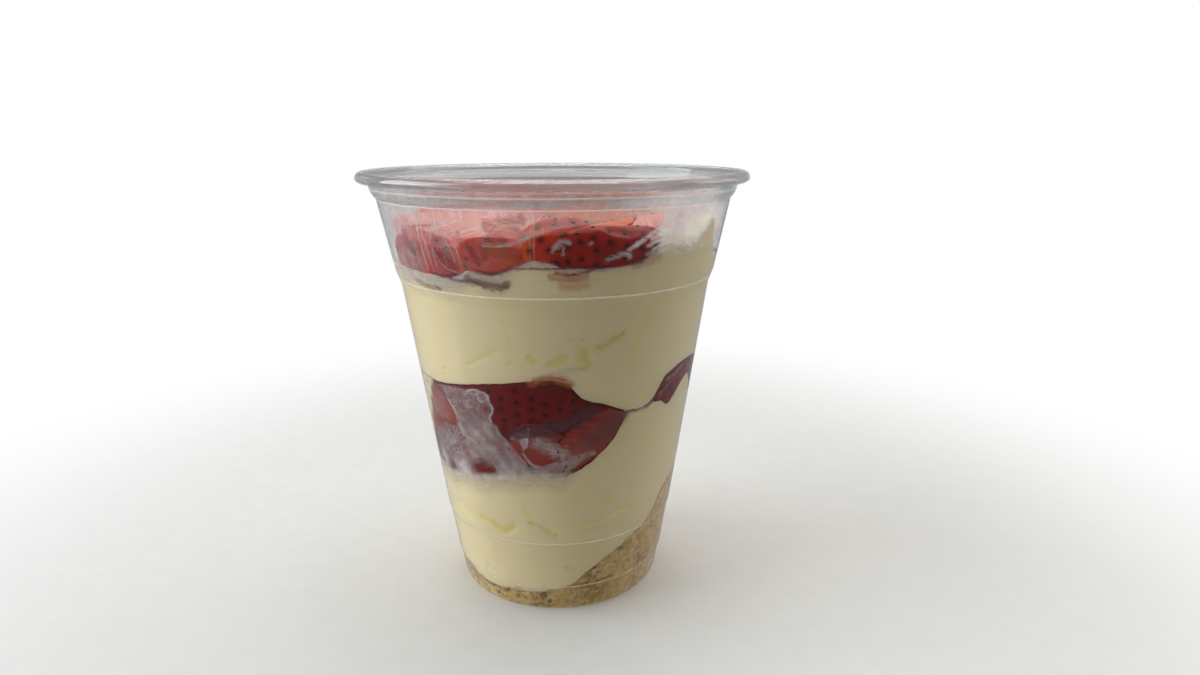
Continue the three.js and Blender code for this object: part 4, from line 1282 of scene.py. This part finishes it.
def depth_inside(places, outline, scale):
    """Distance from an outline, above 0 inside it and below 0 outside."""
    inside = np.zeros(len(places), bool)
    across, up = places.T
    closed = np.array(outline + outline[:1]) * (scale, 1)
    for start, end in zip(closed, closed[1:]):
        rise = 1e-9 if end[1] == start[1] else end[1] - start[1]
        meets = (end[0] - start[0]) * (up - start[1]) / rise + start[0]
        inside ^= ((start[1] > up) != (end[1] > up)) & (across < meets)
    return np.where(inside, 1, -1) * gap_to_line(places, closed)


def wall_places(angles, heights, scale):
    """A grid of places on the wall: angles, heights, and both as millimetres along the wall."""
    across = np.arange(angles[0], angles[1], SMEAR_STEP / scale)
    up = np.arange(heights[0], heights[1], SMEAR_STEP)
    angle, height = np.meshgrid(across, up, indexing="ij")
    return angle, height, np.stack([angle.ravel() * scale, height.ravel()], -1)


def strokes_at(places, strokes, scale):
    """How strongly the strokes cover each place."""
    cover = np.zeros(len(places))
    uneven = wall_waves(places, 1.6, 81)
    hairs = wall_waves(np.c_[places @ (0.3, 0.95) / 0.5, places[:, 0] / 6], 1, 80)
    for line, width, strength, *_ in strokes:
        gap = gap_to_line(places, smoothed(line) * (scale, 1))
        brushed = 1 if width < SCRATCH_WIDTH else 0.72 + 0.28 * hairs
        edge = smooth(gap / (width * (1.5 + 0.45 * uneven)) - 0.25)
        cover = np.maximum(cover, strength * brushed * (1 - edge))
    return cover


def smear(name, angle, height, cover, into_wall, material, slot, **marks):
    """A film on the inside of the wall, left out where it covers nothing, with what is painted."""
    cover = np.clip(cover, 0, 1)
    points = on_wall(angle, wall_radius(height) + into_wall, height).reshape(-1, 3)
    number = np.arange(len(points)).reshape(angle.shape)
    quads = np.stack([number[:-1, :-1], number[1:, :-1], number[1:, 1:], number[:-1, 1:]], -1)
    quads = quads.reshape(-1, 4)
    quads = quads[cover[quads].max(1) > LEAST_COVER]
    used = np.unique(quads)
    renumber = np.zeros(len(points), int)
    renumber[used] = np.arange(len(used))
    piece = new_piece(name, points[used], renumber[quads].tolist(), [material])
    for mark, values in {"cover": cover, **marks}.items():
        paint(piece, mark, values[used])


def stain(name, angle, height, places, strokes, scale):
    """Juice on the wall, each stroke between dark (0) and orange (1)."""
    cover = strokes_at(places, strokes, scale)
    orange = np.zeros(len(places))
    for stroke in strokes:
        one = strokes_at(places, [stroke], scale)
        orange = np.where((one > 0) & (one >= cover - 1e-6), stroke[3], orange)
    smear(name, angle, height, cover, STAIN_INTO_WALL, stain_material, "strawberry", orange=orange)


film_material, tree, surface = new_material(
    "white_film", Roughness=0.5, Emission_Strength=FILM_PAINTED_GLOW
)
cloud, _ = mottled(tree, 420.0, 4.0)
milky = colour_mix(
    tree, add_attribute(tree, "stained"), colour_mix(tree, cloud, *FILM_WHITE),
    colour_mix(tree, cloud, *FILM_PINK),
)
warmer = colour_mix(tree, add_attribute(tree, "warm"), milky, FILM_CREAM)
# A painted glow: where marked, the film gives off a little light, standing in for daylight through
# it.
painted_glow = colour_mix(tree, add_attribute(tree, "backlit"), (0, 0, 0, 1), warmer)
thin = carried(tree, cloud, 0.75, 1.2, 0.3, 0.7)
cover = worked_out(tree, "MULTIPLY", add_attribute(tree, "cover"), thin, use_clamp=True)
finish(tree, surface, warmer, Emission_Color=painted_glow, Alpha=cover)

stain_material, tree, surface = new_material("juice_stain", Roughness=0.4)
cloud, _ = mottled(tree, 500.0, 3.0)
hue = ramp_between(tree, add_attribute(tree, "orange"), STAIN_COLOURS)
hue = colour_mix(tree, worked_out(tree, "MULTIPLY", cloud, 0.5), hue, STAIN_PALE)
finish(tree, surface, hue, Alpha=add_attribute(tree, "cover"))

# The film over the band: a body with curls above and a veil below, combed at the left, where it
# runs into a tongue of cream, and trailing off under the strawberries.
angle, height, places = wall_places((-84, 66), (30, 68.5), BAND_SCALE)
at, up = angle.ravel(), places[:, 1]
clumps, broad = wall_waves(places, 3.2, 83), wall_waves(places, 9, 89)
drift = places + 1.1 * np.stack([wall_waves(places, 5, 86), wall_waves(places, 5, 87)], -1)
streaks = wall_waves(drift @ np.array([[0.5, 0.86], [0.86, -0.5]]) / (7, 0.5), 1, 82)
curls = np.exp(-((wall_waves(drift / 2.3, 1, 88) / 0.11) ** 2))
far_left = smooth((-52 - at) / 6)
body = depth_inside(places, BAND_FILM, BAND_SCALE) + 0.9 * clumps * far_left
body = smooth(body / (0.9 + 2 * far_left) + 0.5)
upper, veil = smooth((up - BAND_UPPER) / 5), smooth((BAND_VEIL - up) / 5)
combed = smooth((-36 - at) / 5) * smooth((BAND_UPPER - up) / 2) * (1 - veil)
thickness = 0.44 + (0.2 * curls - 0.16) * upper + 0.38 * veil
thickness += 0.1 * clumps + 0.07 * broad + 0.06 * streaks + combed * (0.2 * streaks - 0.08)
for at_angle, at_height, wide, tall, opened in VEIL_GAPS:
    out = np.hypot((at - at_angle) / (wide * 1.6), (up - at_height) / (tall * 1.5))
    thickness -= opened * np.exp(-(out**2))
over_edge, under_edge = up - round_the_cup(BAND_BOTTOM, at), round_the_cup(BAND_TOP, at) - up
past_left = smooth((np.interp(up, *FILM_LEFT) - at + 1.2 * clumps) / 5)
past_left *= smooth((at - np.interp(up, *TONGUE_LEFT) + 1.5 * clumps) / 4)
fade_out = smooth((at + 82 + 1.5 * clumps) / 14)
over_left = 0.14 * smooth((-42 - at) / 6) * (upper > 0) * fade_out * smooth(under_edge)
tongue = 0.92 * past_left * smooth(over_edge / 0.6 + 1) * smooth(under_edge / 0.6 + 1)
trails_off = np.clip((over_edge + BAND_TRAIL + 0.6 * broad) / BAND_TRAIL, 0, 1) ** 1.6
near_edge = trails_off * smooth((2.2 - over_edge) / 2.2) * smooth((12 - at) / 10)
leaf = smooth(depth_inside(places, LEAF, BAND_SCALE) / 0.3 + 0.5)
cover = np.maximum.reduce([body * np.clip(thickness, 0, 1), over_left, tongue]) * trails_off
cover = np.maximum.reduce([
    cover, 0.85 * near_edge * fade_out, 0.75 * leaf * (0.75 + 0.25 * streaks),
    strokes_at(places, BAND_STROKES, BAND_SCALE),
])
cover *= 1 - strokes_at(places, BAND_DARK, BAND_SCALE)
smear(
    "band_film", angle, height, cover, SMEAR_INTO_WALL, film_material, "cream",
    warm=np.maximum(past_left, 0.5 * smooth((2.6 - over_edge) / 2.6)),
    backlit=np.zeros(len(places)),
    stained=np.clip(1.0 - 0.35 * veil * (over_edge > 0) + 0.1 * clumps, 0, 1),
)
stain("band_stains", angle, height, places, BAND_STAINS, BAND_SCALE)

# The film over the heap: a haze at the left, a mist under the collar, a veil above its line, a bank
# at the right and a wash over the cream, with scratches and bristle marks drawn in it.
angle, height, places = wall_places((-72, 66), (83.5, 107), TOP_SCALE)
at, up = angle.ravel(), places[:, 1]
line = smoothed(FILM_LINE)
hatching, patches = wall_waves(places / (0.5, 4), 1, 84), wall_waves(places, 5, 85)
left, right = smooth((-at - 36) / 16), smooth((at + 12) / 8)
under = round_the_cup(CREAM_EDGE, at) - up
ends = smooth((at + 69 + 2.5 * patches) / 13) * smooth((62 - at + 3 * patches) / 12)
haze = (0.12 + 0.24 * left) * (1 + 0.4 * hatching + 0.4 * patches) * smooth((1.8 - under) / 2.4)
mist = (0.58 + 0.08 * patches) * smooth((up - 102.6) / 2) * smooth((70 - abs(at + 3)) / 14)
above = smooth((up - np.interp(at, line[:, 0], line[:, 1])) / 0.4) * right
above *= 0.35 + 0.12 * hatching
bank = 0.8 * smooth((up - 94 + patches) / 4) * smooth((at - 31 + patches) / 6)
bank *= smooth((62 - at) / 3)
wash = 0.66 * smooth((under + 0.3) / 0.8) * smooth((5.4 + 0.3 * patches - under) / 5.2)
wash *= smooth((-at - 4 + 2 * patches) / 16)
cover = np.maximum.reduce([haze * (1 - right), above, wash, bank, mist]) * ends
cover *= smooth((up - 83.6) / 2)
rng = np.random.default_rng(91)
starts, tops, lengths = (rng.uniform(*limits, SCRATCHES) for limits in SCRATCH_SIZES)
for start, top, length in zip(starts, tops, lengths):
    lean = 0.16 * length * rng.uniform(0.4, 1.3)
    end = max(top - length, SCRATCH_FOOT)
    drawn = [(start, top), (start + 0.3 * lean, (top + end) / 2), (start + lean, end)]
    TOP_STROKES.append((drawn, rng.uniform(0.06, 0.1), rng.uniform(0.2, 0.6)))
starts, lows, lengths = (rng.uniform(*limits, BRISTLES) for limits in BRISTLE_SIZES)
for start, low, length in zip(starts, lows, lengths):
    drawn = [(start, low), (start + length / 2, low + 0.16 * length),
             (start + length, low + 0.22 * length)]
    TOP_STROKES.append((drawn, rng.uniform(0.07, 0.2), rng.uniform(0.3, 0.8)))
smear(
    "top_film", angle, height, np.maximum(cover, strokes_at(places, TOP_STROKES, TOP_SCALE)),
    SMEAR_INTO_WALL, film_material, "cream",
    warm=0.05 * smooth((at - 30) / 10),
    # The bank at the right gets the painted glow.
    backlit=smooth((at - 22) / 14) * smooth((up - 92) / 4),
    stained=0.9 - 0.9 * smooth((at - 16) / 12),
)
stain("top_stains", angle, height, places, STAIN_STROKES, TOP_SCALE)


# The floor, the light and the camera: a plain pale floor under a bright white surround, a large
# soft light at the left, a soft one overhead, and the camera close in front of the cup.
CAMERA_PLACE = (0.01146, -0.1937, 0.1177)
CAMERA_PITCH = 15.14
CAMERA_LENS = 22.22
FLOOR_PALE = [(0.81, 0.82, 0.81, 1), (0.87, 0.875, 0.86, 1)]
FLOOR_SIZE = 6
MIRRORED_FRONT = (0.05, 0.05, 0.052, 1)
MIRRORED_BACK = (0.34, 0.345, 0.355, 1)
MIRRORED_TOP = (0.95, 0.96, 0.98, 1)
SOFT_FILL = (0.215, 0.195, 0.17, 1)
WHITE = (1, 1, 1, 1)
# Each lamp is its name, place, aim, size, power and colour.
LAMPS = [
    ("window", (-0.95, -0.12, 0.42), (0, 0, 0.06), (0.9, 0.8), 6.6, (0.93, 1.0, 1.08)),
    ("ceiling", (0.1, 0.4, 1.4), (0, 0, 0), (1.8, 1.8), 15.0, (1.0, 1.0, 0.99)),
    ("doorway", (0.85, 0.25, 0.4), (0, 0, 0.06), (0.7, 0.7), 1.4, (0.97, 1.0, 1.0)),
]

bpy.ops.mesh.primitive_grid_add(x_subdivisions=2, y_subdivisions=2, size=FLOOR_SIZE)
floor = bpy.context.object
floor.name = "floor"
floor.visible_glossy = False
# The floor fades to white away from the cup, and throws a little warm light up into its foot.
floor_material, tree, surface = new_material("pale_floor", Roughness=0.6)
finish(tree, surface, colour_mix(tree, mottled(tree, 160.0, 3.0)[0], *FLOOR_PALE))
place = add_node(tree, "TexCoord").outputs["Object"]
reach = add_node(tree, "VectorMath", {0: place}, operation="LENGTH").outputs["Value"]
seen = add_node(tree, "LightPath").outputs["Is Camera Ray"]
fade = carried(tree, reach, 0.0, 1.0, 0.10, 0.26, interpolation_type="SMOOTHSTEP")
fade = worked_out(tree, "MULTIPLY", fade, seen)
unseen = worked_out(tree, "SUBTRACT", 1.0, seen)
bounced = worked_out(tree, "MULTIPLY", carried(tree, reach, 0.3, 0.0, 0.05, 0.11), unseen)
bounce = add_node(tree, "Emission", {"Color": (1, 0.98, 0.94, 1), "Strength": bounced})
white = add_node(tree, "Emission", {"Color": WHITE, "Strength": 1.0})
lit = add_node(tree, "AddShader", {0: surface.outputs["BSDF"], 1: bounce.outputs["Emission"]})
either = shader_mix(tree, fade, lit.outputs["Shader"], white.outputs["Emission"])
tree.links.new(either, tree.nodes["Material Output"].inputs["Surface"])
floor.data.materials.append(floor_material)

# The surround is white to the camera, soft as light, and darker in front where the cup mirrors it.
world = bpy.data.worlds.new("studio")
bpy.context.scene.world = world
world.use_nodes = True
tree = world.node_tree
seen = add_node(tree, "LightPath").outputs
towards = add_node(tree, "TexCoord").outputs["Generated"]
towards = add_node(tree, "SeparateXYZ", {"Vector": towards}).outputs
surround = MIRRORED_FRONT
for share, colour in (
    (carried(tree, towards["Y"], 0.0, 1.0, -0.7, 0.3), MIRRORED_BACK),
    (carried(tree, towards["Z"], 0.0, 1.0, 0.8, 0.92), MIRRORED_TOP),
    (seen["Is Diffuse Ray"], SOFT_FILL),
    (seen["Is Camera Ray"], WHITE),
):
    surround = colour_mix(tree, share, surround, colour)
tree.links.new(surround, tree.nodes["Background"].inputs["Color"])

for name, place, aim, size, power, colour in LAMPS:
    lamp = bpy.data.objects.new(name, bpy.data.lights.new(name, "AREA"))
    lamp.data.shape = "RECTANGLE"
    lamp.data.size, lamp.data.size_y = size
    lamp.data.energy = power
    lamp.data.color = colour
    lamp.location = place
    lamp.rotation_euler = (Vector(aim) - Vector(place)).to_track_quat("-Z", "Y").to_euler()
    bpy.context.scene.collection.objects.link(lamp)

camera = bpy.data.objects.new("camera", bpy.data.cameras.new("camera"))
camera.data.lens = CAMERA_LENS
camera.location = CAMERA_PLACE
camera.rotation_euler = Euler((np.radians(90 - CAMERA_PITCH), 0, 0))
bpy.context.scene.collection.objects.link(camera)
bpy.context.scene.camera = camera
bpy.context.scene.view_settings.view_transform = "Standard"
